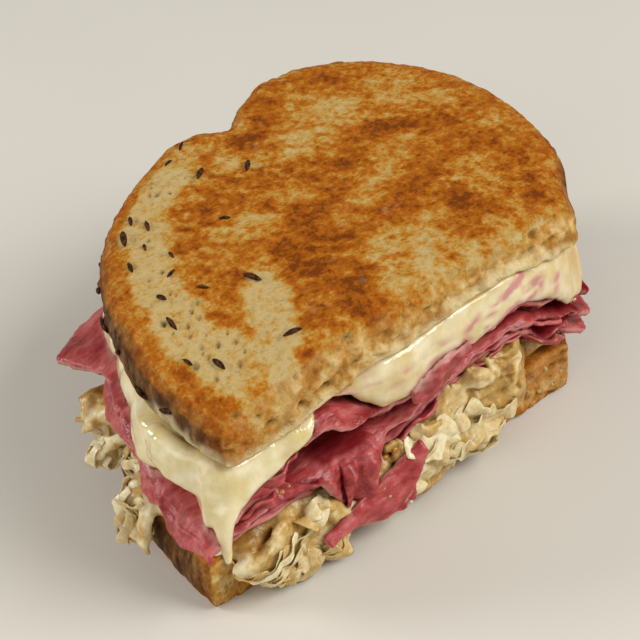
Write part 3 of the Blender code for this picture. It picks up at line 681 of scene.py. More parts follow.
@dataclass(frozen=True)
class Loaf:
    """Plan of a slice: the crust line of a round-topped loaf about its heart, in polar form."""

    heart: tuple[float, float] = (4.0, 38.0)
    mean: float = 58.9
    waves: tuple[tuple[float, int, float], ...] = ((17.5, 1, 75.0), (8.2, 2, -126.9), (3.7, 3, -82.3))
    notch: tuple[float, float, float] = (10.4, 79.0, 10.0)
    dent: tuple[float, float, float] = (7.0, -43.0, 12.0)

    def radius(self, degrees: Any) -> np.ndarray:
        """Distance from the heart to the crust line at an angle."""
        degrees = np.asarray(degrees, float)
        radius = self.mean + 0.0 * degrees
        for reach, lobes, turn in self.waves:
            radius = radius + reach * np.cos(np.radians(lobes * degrees + turn))
        for depth, angle, width in (self.notch, self.dent):
            radius = radius - depth * np.exp(-((degrees - angle) / width) ** 2)
        return radius

    def share(self, points: np.ndarray) -> tuple[np.ndarray, np.ndarray]:
        """How far out points lie.

        Args:
            points: places in the plan.

        Returns:
            The share of the way from the heart to the crust, and the angle from -90 to 270 degrees.
        """
        out = points[:, :2] - self.heart
        degrees = (np.degrees(np.arctan2(out[:, 1], out[:, 0])) + 90.0) % 360.0 - 90.0
        return np.linalg.norm(out, axis=1) / self.radius(degrees), degrees

    def at(self, degrees: float, share: float) -> np.ndarray:
        """The place at an angle and a share of the way to the crust."""
        turn = math.radians(degrees)
        reach = share * float(self.radius(degrees))
        return np.array(self.heart) + reach * np.array((math.cos(turn), math.sin(turn)))


LOAF = Loaf()


@dataclass(frozen=True)
class Spot:
    """A soft oval spot: its middle, half length and width, turn and strength.

    On a toasted face its place is in x and y, and on the front it is in x and z. The firmer it is,
    the sharper its border.
    """

    x: float
    y_or_z: float
    long: float
    wide: float
    turn: float
    strength: float = 1.0
    firm: float = 1.0

    def over(self, flat: np.ndarray) -> np.ndarray:
        """Its strength at each place in its plane, falling off smoothly."""
        along, across = turned(flat - (self.x, self.y_or_z), self.turn)
        return self.strength * np.exp(-((along / self.long) ** 2 + (across / self.wide) ** 2) ** self.firm)


BROWNED = (
    Spot(10.0, 62.0, 5.0, 4.0, 90.0, 0.40), Spot(20.0, 70.0, 8.0, 3.5, 40.0, 0.30),
    Spot(5.0, 48.0, 9.0, 4.0, -20.0, 0.28), Spot(-14.0, 46.0, 8.0, 3.0, 20.0, 0.22),
    Spot(16.0, 40.0, 8.0, 4.5, 10.0, 0.26), Spot(33.0, 46.0, 6.0, 4.0, 0.0, 0.30),
    Spot(41.0, 40.0, 7.0, 4.0, -30.0, 0.34), Spot(-2.0, 29.0, 13.0, 5.0, 15.0, 0.30),
    Spot(-10.0, 16.0, 9.0, 8.0, 60.0, 0.42), Spot(-6.0, 6.0, 7.0, 5.0, 60.0, 0.34),
    Spot(-17.0, 6.0, 6.0, 5.0, 0.0, 0.30), Spot(13.0, 22.0, 12.0, 3.0, 10.0, 0.26),
    Spot(28.0, 27.0, 7.0, 5.0, 20.0, 0.32), Spot(27.0, 12.0, 5.0, 7.0, 0.0, 0.28),
    Spot(46.0, 20.0, 6.0, 9.0, 0.0, 0.32), Spot(40.0, 8.0, 8.0, 4.0, -30.0, 0.28),
    Spot(-28.0, -3.0, 5.0, 4.0, 0.0, 0.26), Spot(-46.0, 4.0, 3.5, 6.0, 0.0, 0.24),
    Spot(34.0, 1.0, 6.0, 2.5, 40.0, 0.20), Spot(-22.0, 36.0, 3.5, 5.0, 20.0, 0.16),
    Spot(-14.0, -3.0, 8.0, 3.0, 0.0, 0.16), Spot(36.0, 72.0, 10.0, 4.0, -40.0, 0.22),
    Spot(-47.0, -4.0, 6.0, 4.0, 0.0, 0.26),
)
PALE = (
    Spot(-24.4, 10.0, 20.0, 4.6, 60.0, -0.66, 3.0), Spot(-38.0, 14.0, 10.0, 3.0, 80.0, -0.2),
    Spot(8.0, 11.0, 12.0, 6.5, 10.0, -0.26), Spot(0.0, 2.0, 10.0, 4.0, 30.0, -0.16),
    Spot(16.0, 55.0, 8.0, 6.0, 10.0, -0.24), Spot(30.0, 62.0, 10.0, 7.0, -10.0, -0.22),
    Spot(26.0, 35.0, 3.5, 3.0, 0.0, -0.26), Spot(14.0, 28.0, 3.5, 3.0, 0.0, -0.24),
    Spot(34.0, 22.0, 4.0, 5.0, 0.0, -0.20), Spot(35.0, 8.0, 4.0, 6.0, -30.0, -0.16),
    Spot(-11.0, 37.0, 5.0, 4.0, 60.0, -0.22), Spot(20.0, -3.0, 12.0, 3.0, 0.0, -0.26),
    Spot(-37.0, -1.0, 6.0, 4.0, 0.0, -0.16), Spot(44.0, 52.0, 5.0, 6.0, 0.0, -0.14),
)


@dataclass
class RyeSlice:
    """A slice of rye with a browned face, a crust round it and a sawn cut."""

    node: Node
    name: str
    cut_y: float
    cell: float = 0.55
    face_up: bool = True
    face_level: float = 0.0
    patches: tuple[Spot, ...] = ()
    glaze: tuple[Spot, ...] = ()
    face_roughness: float = 0.22
    cut_roughness: float = 0.5
    face_pore: float = 0.7
    cut_pore: float = 1.2
    cut_fades: tuple[float, float] = (5.0, 8.0)
    crust_darkens: tuple[float, float] = (1.0, 8.0)
    seeded_band: tuple[float, float] = (112.0, 216.0)
    streak: tuple[float, float, float] = (1.6, 1.0, 1.0)

    def build(self, material: bpy.types.Material) -> Piece:
        """Model the slice over its solid and dress it.

        Args:
            material: the finish of rye.

        Returns:
            The finished piece.
        """
        piece = Piece.from_node(self.node, self.name)
        piece.remesh(self.cell, 2)
        points, normals = piece.points(), piece.normals()
        facing = normals[:, 2] if self.face_up else -normals[:, 2]
        blotch = ripple(points, 4.0, 2) + 0.6 * ripple(points, 1.8, 13)
        near_cut = 1.0 - smooth(points[:, 1] - self.cut_y, *self.cut_fades)
        cut = smooth(-normals[:, 1] + 0.2 * blotch, 0.46, 0.78) * near_cut
        face = smooth(facing + 0.1 * blotch, 0.42, 0.72) * (1.0 - cut)
        crust = (1.0 - face) * (1.0 - cut) * (1.0 - smooth(-facing, 0.5, 0.9))

        relief, pores = self.relief(points, face, cut, crust)
        moved = points + normals * relief[:, None]
        moved[:, 2] = np.maximum(moved[:, 2], 0.0)
        piece.move_to(moved)
        piece.mark("toast", self.toast(points, face, relief))
        piece.mark("crumb", cut * self.bare_crumb(points))
        back = smooth(points[:, 1] - self.cut_y + 2.0 * blotch, *self.crust_darkens)
        piece.mark("crust", crust * (0.45 + 0.55 * back))
        # Painted shade: how deep each vertex lies in the pores, for the finish to darken.
        piece.mark("pore_shade", pores)
        glaze = sum((spot.over(points[:, (0, 2)]) for spot in self.glaze), np.zeros(len(points)))
        piece.mark("glaze", 2.2 * glaze * near_cut)
        piece.finish(material, Slot.RYE, self.node)
        return piece

    def bare_crumb(self, points: np.ndarray) -> np.ndarray:
        """Where the cut shows crumb: not next to the browned face, nor where the griddle reached the cut."""
        depth = self.face_level - points[:, 2] if self.face_up else points[:, 2] - self.face_level
        ragged = ripple(points, 2.6, 8) + 0.6 * ripple(points, 1.2, 9)
        deep = smooth(depth + 1.3 * ragged, 0.6, 3.2)
        if not self.face_up:
            return deep
        reached = 1.0 - smooth(points[:, 0] + 6.0 * ripple(points, 6.0, 10), -46.0, -24.0)
        return deep * (1.0 - 0.8 * reached)

    def relief(self, points: np.ndarray, face: np.ndarray, cut: np.ndarray,
               crust: np.ndarray) -> tuple[np.ndarray, np.ndarray]:
        """How far each vertex stands out, and how deep in the pores it lies.

        Rye's crumb has pores down to a few tenths of a millimetre. The smallest that are modelled are
        spaced 1.6 mm apart, as finer ones don't show.

        Args:
            points: places of the vertices.
            face: how much each lies on the browned face.
            cut: how much each lies on the cut.
            crust: how much each lies on the crust.

        Returns:
            The relief in millimetres, and the depth in the pores from 0 to 1.
        """
        fine = ripple(points, 1.3, 4)
        rough = self.face_roughness * (0.6 * ripple(points, 2.6, 3) + 0.8 * fine) * face
        torn = 1.2 * ripple(points, 5.0, 12) + ripple(points, 2.8, 5)
        torn = torn + 0.7 * ripple(points, 1.7, 6) + 0.4 * fine
        rough = rough + self.cut_roughness * torn * cut
        rough = rough + 0.3 * (ripple(points, (2.4, 2.4, 6.0), 7) + 0.6 * fine) * crust
        share, degrees = LOAF.share(points)
        pale = self.band(points, share, degrees) if self.face_up else 0.0
        slanted = np.c_[*turned(points, 50.0), points[:, 2]]
        pits = holes(slanted, (2.7, 1.5, 4.0), 0.6, 7) * face * (0.3 + 0.7 * pale)
        pores = holes(points, (3.4, 3.0, 2.2), 0.6, 11) * cut
        small = holes(points, 1.6, 0.5, 15) * np.maximum(cut, 0.5 * crust)
        relief = rough - self.face_pore * pits - self.cut_pore * pores - 0.5 * small
        return relief, np.clip(pits + 0.8 * pores + 0.5 * small, 0.0, 1.0)

    def band(self, points: np.ndarray, share: np.ndarray, degrees: np.ndarray) -> np.ndarray:
        """The pale, seeded band inside the rim, where the face hardly touched the griddle."""
        low, high = self.seeded_band
        share = share + 0.05 * ripple(points, 5.0, 26) + 0.02 * ripple(points, 2.0, 27)
        round_band = smooth(degrees, low - 16.0, low + 8.0) * (1.0 - smooth(degrees, high, high + 12.0))
        return round_band * smooth(share, 0.62, 0.7) * (1.0 - smooth(share, 0.84, 0.89))

    def toast(self, points: np.ndarray, face: np.ndarray, relief: np.ndarray) -> np.ndarray:
        """How browned each vertex is: by patches, in streaks, and most on what stands out."""
        share, degrees = LOAF.share(points)
        streaked = np.c_[*turned(points, -45.0), points[:, 2]]
        streaks = np.array(self.streak)
        value = 0.5 + 0.1 * ripple(points, 9.0, 21)
        value = value + 0.2 * ripple(streaked, 3.4 * streaks, 22) + 0.22 * ripple(streaked, 1.9 * streaks, 23)
        value = value + 0.16 * ripple(points, 1.3, 24)
        for patch in self.patches:
            value = value + patch.over(points[:, :2])
        if self.face_up:
            pale = self.band(points, share, degrees)
            value = value * (1.0 - 0.92 * pale)
            rim = smooth(share + 0.02 * ripple(points, 3.0, 28), 0.84, 0.9)
            value = value * (1.0 - 0.85 * rim) + 0.85 * (0.56 + 0.2 * ripple(points, 2.4, 25)) * rim
            value = value + 0.3 * smooth(share, 0.95, 1.01)
            front = 1.0 - smooth(points[:, 1], self.cut_y + 1.0, self.cut_y + 9.0)
            value = value - 0.16 * front * smooth(points[:, 0], -30.0, -12.0)
        return value + 0.45 * relief * face


@dataclass
class CarawaySeeds:
    """The caraway that shows on the top slice, sunk in its face and its crust."""

    across: tuple[float, float] = (0.29, 0.24)
    face: tuple[tuple[float, float, float, float], ...] = (
        (-30.0, 52.0, 61, 5.2), (-24.0, 52.4, 66, 3.6), (-25.4, 56.4, 62, 3.4), (-34.6, 42.8, 70, 3.6),
        (-30.1, 35.2, 16, 2.6), (-35.9, 30.3, 92, 4.0), (-38.8, 22.8, 83, 3.8), (-38.4, 8.6, 87, 4.4),
        (-42.4, 12.8, 96, 2.8), (-5.5, 59.4, 38, 4.4), (3.5, 54.7, 48, 4.4), (-26.3, 40.6, 79, 2.6),
        (-11.4, 42.8, 146, 2.6), (-28.3, 27.1, 127, 2.8), (-19.8, 22.4, 109, 4.6), (-24.0, 4.6, 170, 4.2),
        (-7.4, 68.5, 24, 2.8), (-1.8, 71.6, 34, 2.8), (-28.6, 46.6, 64, 2.6),
    )
    crust_length: float = 4.2
    crust: tuple[tuple[float, float], ...] = (
        (152.0, 0.6), (164.0, 0.9), (176.0, -0.4), (188.0, 0.8), (199.0, -0.7), (207.0, 0.2),
    )
    crust_height: float = 43.0
    ray_height: float = 80.0
    ray_out: float = 12.0

    def spots(self) -> Iterator[tuple[Vector, Vector, Vector, float]]:
        """Where seeds lie: a ray's start and direction, the seed's own direction and its length."""
        for x, y, turn, length in self.face:
            angle = math.radians(turn)
            heading = Vector((math.cos(angle), math.sin(angle), 0.0))
            yield Vector((x, y, self.ray_height)), -UP, heading, length
        for degrees, tilt in self.crust:
            angle = math.radians(degrees)
            out = Vector((math.cos(angle), math.sin(angle), 0.0))
            heading = Vector((-out.y, out.x, 0.0)) * math.cos(tilt) + UP * math.sin(tilt)
            start = Vector((*LOAF.at(degrees, 1.0), self.crust_height + 0.9 * tilt)) + self.ray_out * out
            yield start, -out, heading, self.crust_length

    def build(self, bread: Piece, material: bpy.types.Material) -> Piece:
        """Model one seed, copy it to every spot and join the copies.

        Args:
            bread: the slice that they lie on.
            material: the finish of caraway.

        Returns:
            The finished piece.
        """
        ball, faces = primitive("uv_sphere", segments=10, ring_count=9, radius=0.5)
        wide, high = self.across
        shape = []
        for x, y, z in ball:
            along, turn = 2.0 * z, math.atan2(y, x)
            girth = (1.0 + 0.12 * math.cos(5.0 * turn)) * (1.0 - 0.4 * along * along)
            bow = 0.05 * (1.0 - along * along)
            shape.append((z, wide * x * girth, high * y * girth + bow))

        tree = bread.tree()
        copies = []
        for start, ray, heading, length in self.spots():
            hit, normal = tree.ray_cast(start, ray)[:2]
            if hit is None:
                continue
            normal = (normal - ray).normalized()
            heading = (heading - normal * heading.dot(normal)).normalized()
            across = normal.cross(heading)
            copies.append([hit + length * (heading * x + across * y + normal * z) for x, y, z in shape])
        piece = Piece.from_copies("caraway_seeds", copies, faces)
        piece.finish(material, Slot.RYE, Node.TOP_BREAD)
        return piece


@dataclass(frozen=True)
class Pocket:
    """A hollow among the folded beef, as an ellipsoid that everything is pressed out of."""

    middle: tuple[float, float, float]
    reach: tuple[float, float, float]

    def clear(self, points: np.ndarray) -> np.ndarray:
        """Places after what lay in the hollow has been pressed out of it."""
        out = (points - self.middle) / self.reach
        out[:, 1] += 0.02
        share = np.linalg.norm(out, axis=1)
        pressed = np.where(share < 1.3, 0.85 + 0.45 * (share / 1.3) ** 3, share)
        return np.array(self.middle) + out * (pressed / share)[:, None] * self.reach

    def within(self, points: np.ndarray) -> np.ndarray:
        """Strength of the shade painted in the hollow: 1 on the walls far in, 0 at the mouth and outside."""
        share = np.linalg.norm((points - self.middle) / self.reach, axis=1)
        inside = smooth(points[:, 1], self.middle[1] + 1.0, self.middle[1] + 4.0)
        return (1.0 - smooth(share, 1.25, 1.7)) * inside


HOLLOWS = (
    Pocket((-20.2, -7.0, 27.0), (7.4, 9.5, 3.2)),
    Pocket((41.4, -6.0, 27.2), (5.2, 8.0, 2.9)),
    Pocket((37.0, -6.0, 22.8), (5.6, 8.0, 1.7)),
)
# Spots where shade is painted among the beef; nothing is pressed out of them.
SHADES = (Pocket((43.0, -0.5, 23.8), (4.6, 4.4, 2.6)), Pocket((37.0, -2.0, 23.4), (4.6, 3.4, 1.4)))


def hollowed(points: np.ndarray) -> np.ndarray:
    """Places after every hollow has been cleared."""
    for pocket in HOLLOWS:
        points = pocket.clear(points)
    return points


def deep(points: np.ndarray) -> np.ndarray:
    """Strength of painted shade at each place, from 0 to 1: far in a hollow, and in the spots of painted
    shade.
    """
    walls = np.max([pocket.within(points) for pocket in HOLLOWS], axis=0)
    for shade in SHADES:
        share = np.linalg.norm((points - shade.middle) / shade.reach, axis=1)
        walls = np.maximum(walls, 0.9 * (1.0 - smooth(share, 0.6, 1.1)))
    return walls


@dataclass(frozen=True)
class Flap:
    """The hanging corner of a slice: where it starts, the way it hangs and its upper side."""

    start: tuple[float, float, float] = (-53.5, 4.0, 21.8)
    along: tuple[float, float, float] = (-0.216, -0.909, -0.364)
    across: tuple[float, float, float] = (0.896, -0.328, 0.286)
    up: tuple[float, float, float] = (-0.36, -0.19, 0.91)
    length: float = 8.0
    width: float = 9.0
    depth: float = 6.0
    thinning: float = 0.72
    slant: float = 2.6
    longer: float = 1.2

    def thinned(self, points: np.ndarray, normals: np.ndarray) -> np.ndarray:
        """Places after the corner has been pressed to a thin sheet with a slanting left edge."""
        out = points - self.start
        down, side, level = out @ self.along, out @ self.across, out @ self.up
        near = (np.abs(level) < self.depth) & (np.abs(side) < self.width) & (down > -2.0)
        top = near & (normals @ np.array(self.up) > 0.75)
        plane = np.linalg.lstsq(np.c_[down[top], side[top], np.ones(top.sum())], level[top], rcond=None)[0]
        below = np.minimum(level - np.c_[down, side, np.ones(len(points))] @ plane, 0.0)
        end = np.where(near, smooth(down, -1.0, self.length), 0.0)
        slant = self.slant * end * (1.0 - smooth(side, -3.0, 3.0))
        lifted = points - self.thinning * (end * below)[:, None] * self.up
        return lifted + slant[:, None] * self.across + self.longer * (end ** 2)[:, None] * self.along


@dataclass
class BeefSlice:
    """A thin slice of corned beef, crinkled towards its edges."""

    node: Node
    name: str
    seed: int
    cell: float = 0.6
    rounds: int = 3
    crinkle: float = 0.5
    wrinkle: float = 0.36
    creases: tuple[tuple[float, float, float, float], ...] = ()
    crease_depth: float = 0.7
    crease_width: float = 0.8
    flap: Flap | None = None

    def crease(self, points: np.ndarray) -> np.ndarray:
        """1 along the creases, which run between two (x, z) places as seen from the cut."""
        depth = np.zeros(len(points))
        for x0, z0, x1, z1 in self.creases:
            start, run = np.array((x0, z0)), np.array((x1 - x0, z1 - z0))
            out = points[:, (0, 2)] - start
            part = np.clip(out @ run / (run @ run), 0.0, 1.0)
            distance = np.linalg.norm(out - part[:, None] * run, axis=1)
            depth = np.maximum(depth, np.exp(-(distance / self.crease_width) ** 2))
        return depth

    def build(self) -> Piece:
        """Model the slice over its solid."""
        piece = Piece.from_node(self.node, self.name)
        piece.remesh(self.cell, self.rounds)
        points, normals = piece.points(), piece.normals()
        waves = ripple(points, (5.0, 6.0, 9.0), self.seed)
        waves = waves + 0.5 * ripple(points, (2.6, 2.8, 5.0), self.seed + 1)
        front = 1.0 - smooth(points[:, 1], 1.0, 7.0)
        upright = ripple(points, (1.7, 7.0, 7.0), self.seed + 2) * front
        sideways = ripple(points, (7.0, 1.7, 7.0), self.seed + 3) * (1.0 - front)
        grain = self.wrinkle * (upright + sideways) + 0.12 * ripple(points, 1.3, self.seed + 4)
        calm = 1.0 - 0.65 * smooth(points[:, 0], 26.0, 38.0)     # the right end lies flatter
        bend = np.zeros_like(points)
        bend[:, 2] = self.crinkle * waves * calm
        moved = points + bend + normals * (grain * calm - self.crease_depth * self.crease(points))[:, None]
        if self.flap is not None:
            moved = self.flap.thinned(moved, normals)
        piece.move_to(hollowed(moved))
        piece.mark("edge", smooth(piece.depth(7.0), 2.6, 5.0))
        return piece


@dataclass(frozen=True)
class Fold:
    """A strip of beef crumpled on the front of the stack, placed as seen from the cut.

    Its line runs through (x, z, width) places. Waves are counted along and across it, and flare says
    how much further out its upper edge stands than its lower one.
    """

    line: tuple[tuple[float, float, float], ...]
    proud: float = 0.8
    rise: float = 0.6
    waves_along: float = 2.0
    waves_across: float = 0.3
    flare: float = 0.8


@dataclass
class BeefFolds:
    """The crumpled strips and thin layers of beef that show along the cut."""

    folds: tuple[Fold, ...] = (
        Fold(((-18.6, 23.4, 7.0), (-18.4, 19.0, 9.0), (-18.6, 14.0, 9.2), (-20.0, 8.0, 6.4),
              (-21.4, 3.6, 3.6)), 1.2, 0.9, 0.5, 1.7, 0.0),
        Fold(((-47.0, 20.6, 1.0), (-42.0, 22.8, 2.6), (-36.0, 22.4, 3.0), (-30.0, 21.6, 2.6),
              (-26.0, 20.6, 1.4)), 0.6, 0.45, 2.4, 0.2, 1.6),
        Fold(((-45.5, 24.4, 1.0), (-41.0, 26.4, 2.2), (-36.0, 26.0, 2.6), (-31.0, 27.0, 2.4),
              (-28.0, 29.0, 1.2)), 0.5, 0.45, 2.0, 0.2, 1.6),
        Fold(((-12.6, 15.4, 1.4), (-4.0, 19.2, 2.6), (5.0, 20.8, 3.0), (16.0, 23.2, 3.0),
              (25.0, 24.0, 2.6), (31.0, 23.4, 1.6)), 0.6, 0.45, 5.0, 0.2, 1.5),
        Fold(((28.0, 27.4, 1.4), (34.0, 24.6, 3.0), (39.0, 21.6, 3.2), (43.4, 18.6, 2.2)),
             0.8, 0.4, 0.8, 0.2, 1.6),
        Fold(((28.0, 23.8, 1.2), (34.0, 19.8, 2.8), (39.0, 16.2, 3.0), (42.4, 13.6, 1.8)),
             0.7, 0.4, 0.9, 0.2, 1.6),
    )
    step: float = 0.5
    thick: float = 0.8
    heading_reach: float = 0.8
    evening_rounds: int = 6
    sunk_ends: float = 1.2

    def build(self, behind: Sequence[Piece]) -> Piece:
        """Drape every strip over what lies behind it and join them.

        Args:
            behind: the pieces that the strips lie on.

        Returns:
            One piece with all the strips.
        """
        trees = [piece.tree() for piece in behind]
        strips = [self.strip(fold, trees, number) for number, fold in enumerate(self.folds)]
        strips[0].join(*strips[1:])
        piece = strips[0]
        piece.mark("edge", smooth(piece.depth(7.0), 2.2, 4.2))
        return piece

    def strip(self, fold: Fold, trees: Sequence[BVHTree], number: int) -> Piece:
        """Shape one strip from a grid and give it its thickness.

        Args:
            fold: its line and its waves.
            trees: what lies behind it.
            number: which strip it is, for its name and its noise.

        Returns:
            The strip.
        """
        line = np.array(fold.line)
        lengths = np.r_[0.0, np.cumsum(np.linalg.norm(np.diff(line[:, :2], axis=0), axis=1))]
        columns = int(lengths[-1] / self.step) + 2
        rows = int(line[:, 2].max() / self.step) + 2
        clear_selection()
        bpy.ops.mesh.primitive_grid_add(x_subdivisions=columns, y_subdivisions=rows, size=1.0)
        piece = Piece(bpy.context.active_object)
        piece.obj.name = piece.obj.data.name = "beef_folds" if number == 0 else f"beef_fold_{number}"
        flat = (piece.points() + SHIFT) * MM
        along, across = flat[:, 0] + 0.5, flat[:, 1]
        at = along * lengths[-1]
        middle, ahead, back = (
            np.c_[np.interp(place, lengths, line[:, 0]), np.interp(place, lengths, line[:, 1])]
            for place in (at, at + self.heading_reach, at - self.heading_reach))
        run = (ahead - back) / np.linalg.norm(ahead - back, axis=1)[:, None]
        side = np.c_[-run[:, 1], run[:, 0]]
        places = middle + side * (across * np.interp(at, lengths, line[:, 2]))[:, None]

        level = self.fronts(trees, places, along, across)
        spot = np.c_[places[:, 0], np.full(len(places), 9.0 * number), places[:, 1]]
        turn = 2.0 * math.pi * (fold.waves_along * along + fold.waves_across * (across + 0.5)) + number
        turn = turn + 1.6 * ripple(spot, 6.0, 97)
        wave = fold.rise * (np.sin(turn) + 0.7 * ripple(spot, 2.4, 90 + number))
        out = fold.proud + wave + fold.flare * (across + 0.5)
        ends = np.clip(np.minimum(along, 1.0 - along) * 6.0, 0.0, 1.0)
        out = out * ends - self.sunk_ends * (1.0 - ends)
        moved = np.c_[places[:, 0], level - out, places[:, 1] + 0.4 * ripple(spot, 2.0, 95)]
        piece.move_to(hollowed(moved))
        piece.modify("SOLIDIFY", thickness=self.thick * MM, offset=0.0)
        piece.modify("SUBSURF", levels=1, render_levels=1)
        return piece

    def fronts(self, trees: Sequence[BVHTree], places: np.ndarray, along: np.ndarray,
               across: np.ndarray) -> np.ndarray:
        """How far out the front of the stack lies, evened out over a strip.

        Args:
            trees: the pieces of the stack.
            places: the strip's vertices in x and z.
            along: where each lies in the grid's length.
            across: where each lies in its width.

        Returns:
            A y for each vertex.
        """
        order = np.lexsort((across, along))
        hits = [seen_from_cut(trees, x, z) for x, z in places[order]]
        level = np.array([min(BOTTOM_CUT_Y, hit[0].y) if hit else BOTTOM_CUT_Y for hit in hits])
        grid = level.reshape(-1, len(np.unique(np.round(across, 5))))
        for _ in range(self.evening_rounds):
            wide = np.pad(grid, 1, mode="edge")
            near = wide[:-2, 1:-1] + wide[2:, 1:-1]
            grid = (grid * 2.0 + near + wide[1:-1, :-2] + wide[1:-1, 2:]) / 6.0
        level[order] = grid.ravel()
        return level


@dataclass
class CheeseLayer:
    """Melted cheese that bulges and hangs between the beef and the top slice."""

    cell: float = 0.55
    rounds: int = 9
    film: float = 0.9
    swell: float = 0.2
    drip: tuple[tuple[float, float, float, float, float], ...] = (
        (-47.8, -0.2, 31.0, 4.6, 2.4), (-48.6, -1.9, 28.0, 3.4, 1.9), (-49.4, -3.2, 25.0, 2.3, 1.5),
        (-50.1, -4.1, 22.0, 1.5, 1.2), (-50.6, -4.7, 19.0, 1.05, 0.95), (-50.9, -5.0, 15.8, 0.75, 0.7),
    )
    drip_turn: float = -45.0
    swells: tuple[tuple[float, float, float, float], ...] = (
        (-52.6, 12.4, 33.4, 1.8), (-52.7, 10.0, 33.0, 2.0), (-52.4, 7.6, 32.4, 2.0), (-51.8, 5.6, 31.8, 2.1),
        (-51.0, 3.9, 31.2, 2.2), (-50.2, 2.4, 30.8, 2.4), (-49.4, 1.0, 30.4, 2.6),
    )
    storeys: int = 3
    smears: tuple[Spot, ...] = (
        Spot(17.5, 38.8, 3.0, 1.2, 30.0), Spot(22.5, 40.6, 3.8, 1.1, 24.0),
        Spot(15.8, 42.6, 2.6, 1.0, 10.0), Spot(25.6, 42.0, 3.0, 1.0, 80.0),
        Spot(-9.0, 36.4, 4.6, 1.6, 0.0), Spot(0.0, 36.2, 5.0, 1.3, 10.0),
        Spot(24.0, 37.0, 3.6, 0.8, 20.0), Spot(11.0, 37.6, 3.4, 1.0, 20.0),
        Spot(21.0, 35.6, 4.0, 1.0, 26.0), Spot(-20.0, 38.6, 6.0, 1.6, 0.0),
        Spot(30.0, 38.0, 3.0, 1.6, -40.0), Spot(35.6, 38.0, 4.0, 1.0, 70.0),
        Spot(28.0, 36.6, 4.0, 0.9, 30.0), Spot(12.0, 34.6, 5.0, 1.3, 20.0),
    )
    smear_strength: float = 1.7
    drawn_in: float = 2.4

    def build(self) -> Piece:
        """Model the cheese over its solid, with its longest drip."""
        piece = Piece.from_node(Node.CHEESE, "melted_cheese_layer")
        balls = [self.ball(x + 0.5 * storey, y, z + 2.2 * storey, radius)
                 for x, y, z, radius in self.swells for storey in range(self.storeys)]
        piece.join(self.drop(), *balls)
        piece.remesh(self.cell, self.rounds)
        points, normals = piece.points(), piece.normals()
        soft = self.swell + 0.55 * ripple(points, 6.0, 41) + 0.25 * ripple(points, 2.8, 42)
        moved = points + normals * soft[:, None]
        end = smooth(points[:, 0], 32.0, 46.0)
        pleat = ripple(points, (2.2, 30.0, 9.0), 40) * end
        moved[:, 0] -= self.drawn_in * end
        moved[:, 1] += (1.2 * end + 0.5 * pleat) * (1.0 - smooth(points[:, 1], 0.0, 8.0))
        piece.move_to(HOLLOWS[0].clear(moved))
        return piece

    def ball(self, x: float, y: float, z: float, radius: float) -> Piece:
        """A ball of cheese at a place in the plan."""
        clear_selection()
        place = (np.array((x, y, z)) + SHIFT) * MM
        bpy.ops.mesh.primitive_ico_sphere_add(subdivisions=3, radius=radius * MM, location=place)
        bpy.ops.object.transform_apply(location=True, rotation=True, scale=True)
        return Piece(bpy.context.active_object)

    def drop(self) -> Piece:
        """The drip at the near left corner, flat ovals along its path."""
        sides = 12
        slant = math.radians(self.drip_turn)
        wide = np.array((math.cos(slant), math.sin(slant)))
        across = np.array((-math.sin(slant), math.cos(slant)))
        points, faces = [], []
        for x, y, z, half_width, half_thick in self.drip:
            for i in range(sides):
                turn = 2.0 * math.pi * i / sides
                out = half_width * math.cos(turn) * wide + half_thick * math.sin(turn) * across
                points.append((x + out[0], y + out[1], z))
        for ring in range(len(self.drip) - 1):
            for i in range(sides):
                low, high = ring * sides, (ring + 1) * sides
                faces.append((low + i, high + i, high + (i + 1) % sides, low + (i + 1) % sides))
        faces.append(tuple(range(sides)))
        faces.append(tuple(reversed(range(len(points) - sides, len(points)))))
        return Piece.from_faces("drip", points, faces)

    def dress(self, piece: Piece, material: bpy.types.Material, beef: Sequence[Piece], bread: Piece) -> None:
        """Mark where beef shows through the cheese and where oil lies on it, and dress it.

        Args:
            piece: the cheese.
            material: its finish.
            beef: the pieces that show pink where the cheese is thin.
            bread: the slice over it, next to which it is toasted.
        """
        points = piece.points()
        near = piece.distance_to(beef, 3.0)
        blotch = 0.5 + 0.5 * ripple(points, (3.0, 3.0, 1.6), 43)
        tint = (1.0 - smooth(near, 0.1, self.film + 1.4 * blotch)) * (0.35 + 0.65 * blotch)
        streaky = smooth(ripple(points, (3.6, 3.0, 1.0), 45) + 0.5 * ripple(points, 1.4, 46), -0.5, 0.5)
        for smear in self.smears:
            tint = np.maximum(tint, self.smear_strength * smear.over(points[:, (0, 2)]) * streaky)
        piece.mark("tint", tint)
        toasted = 1.0 - smooth(piece.distance_to([bread], 2.0) + 0.5 * ripple(points, 1.6, 49), 0.3, 1.6)
        right_end = np.maximum(smooth(points[:, 0], 24.0, 40.0), 0.8 * toasted)
        pleats = 0.75 + 0.5 * ripple(points, (1.6, 3.0, 7.0), 48)
        pools = 0.5 * smooth(ripple(points, (7.0, 7.0, 4.0), 47), 0.1, 0.8)
        piece.mark("oil", np.maximum(pools, right_end * pleats))
        piece.finish(material, Slot.CHEESE, Node.CHEESE)


@dataclass(frozen=True)
class Shredding:
    """How one lot of shreds is cut and laid, in millimetres.

    front and side count the shreds laid over the cut and round the crust, and window bounds where
    the first ones start, in x and z. Most real shreds are 1 to 3 mm wide, but in a wet heap several
    cling together as a limp leaf, and each leaf is drawn as one wide shred.
    """

    front: int
    side: int
    width: tuple[float, float]
    length: tuple[float, float]
    sink: float
    lift: float
    thick: float
    ruffle: float
    cup: float
    tone: tuple[float, float] = (0.0, 1.0)
    bend: float = 0.16
    blunt: float = 0.25
    highest: float = 24.5
    step: float = 0.9
    window: tuple[float, float, float, float] = (-47.0, 31.0, 4.0, 24.0)


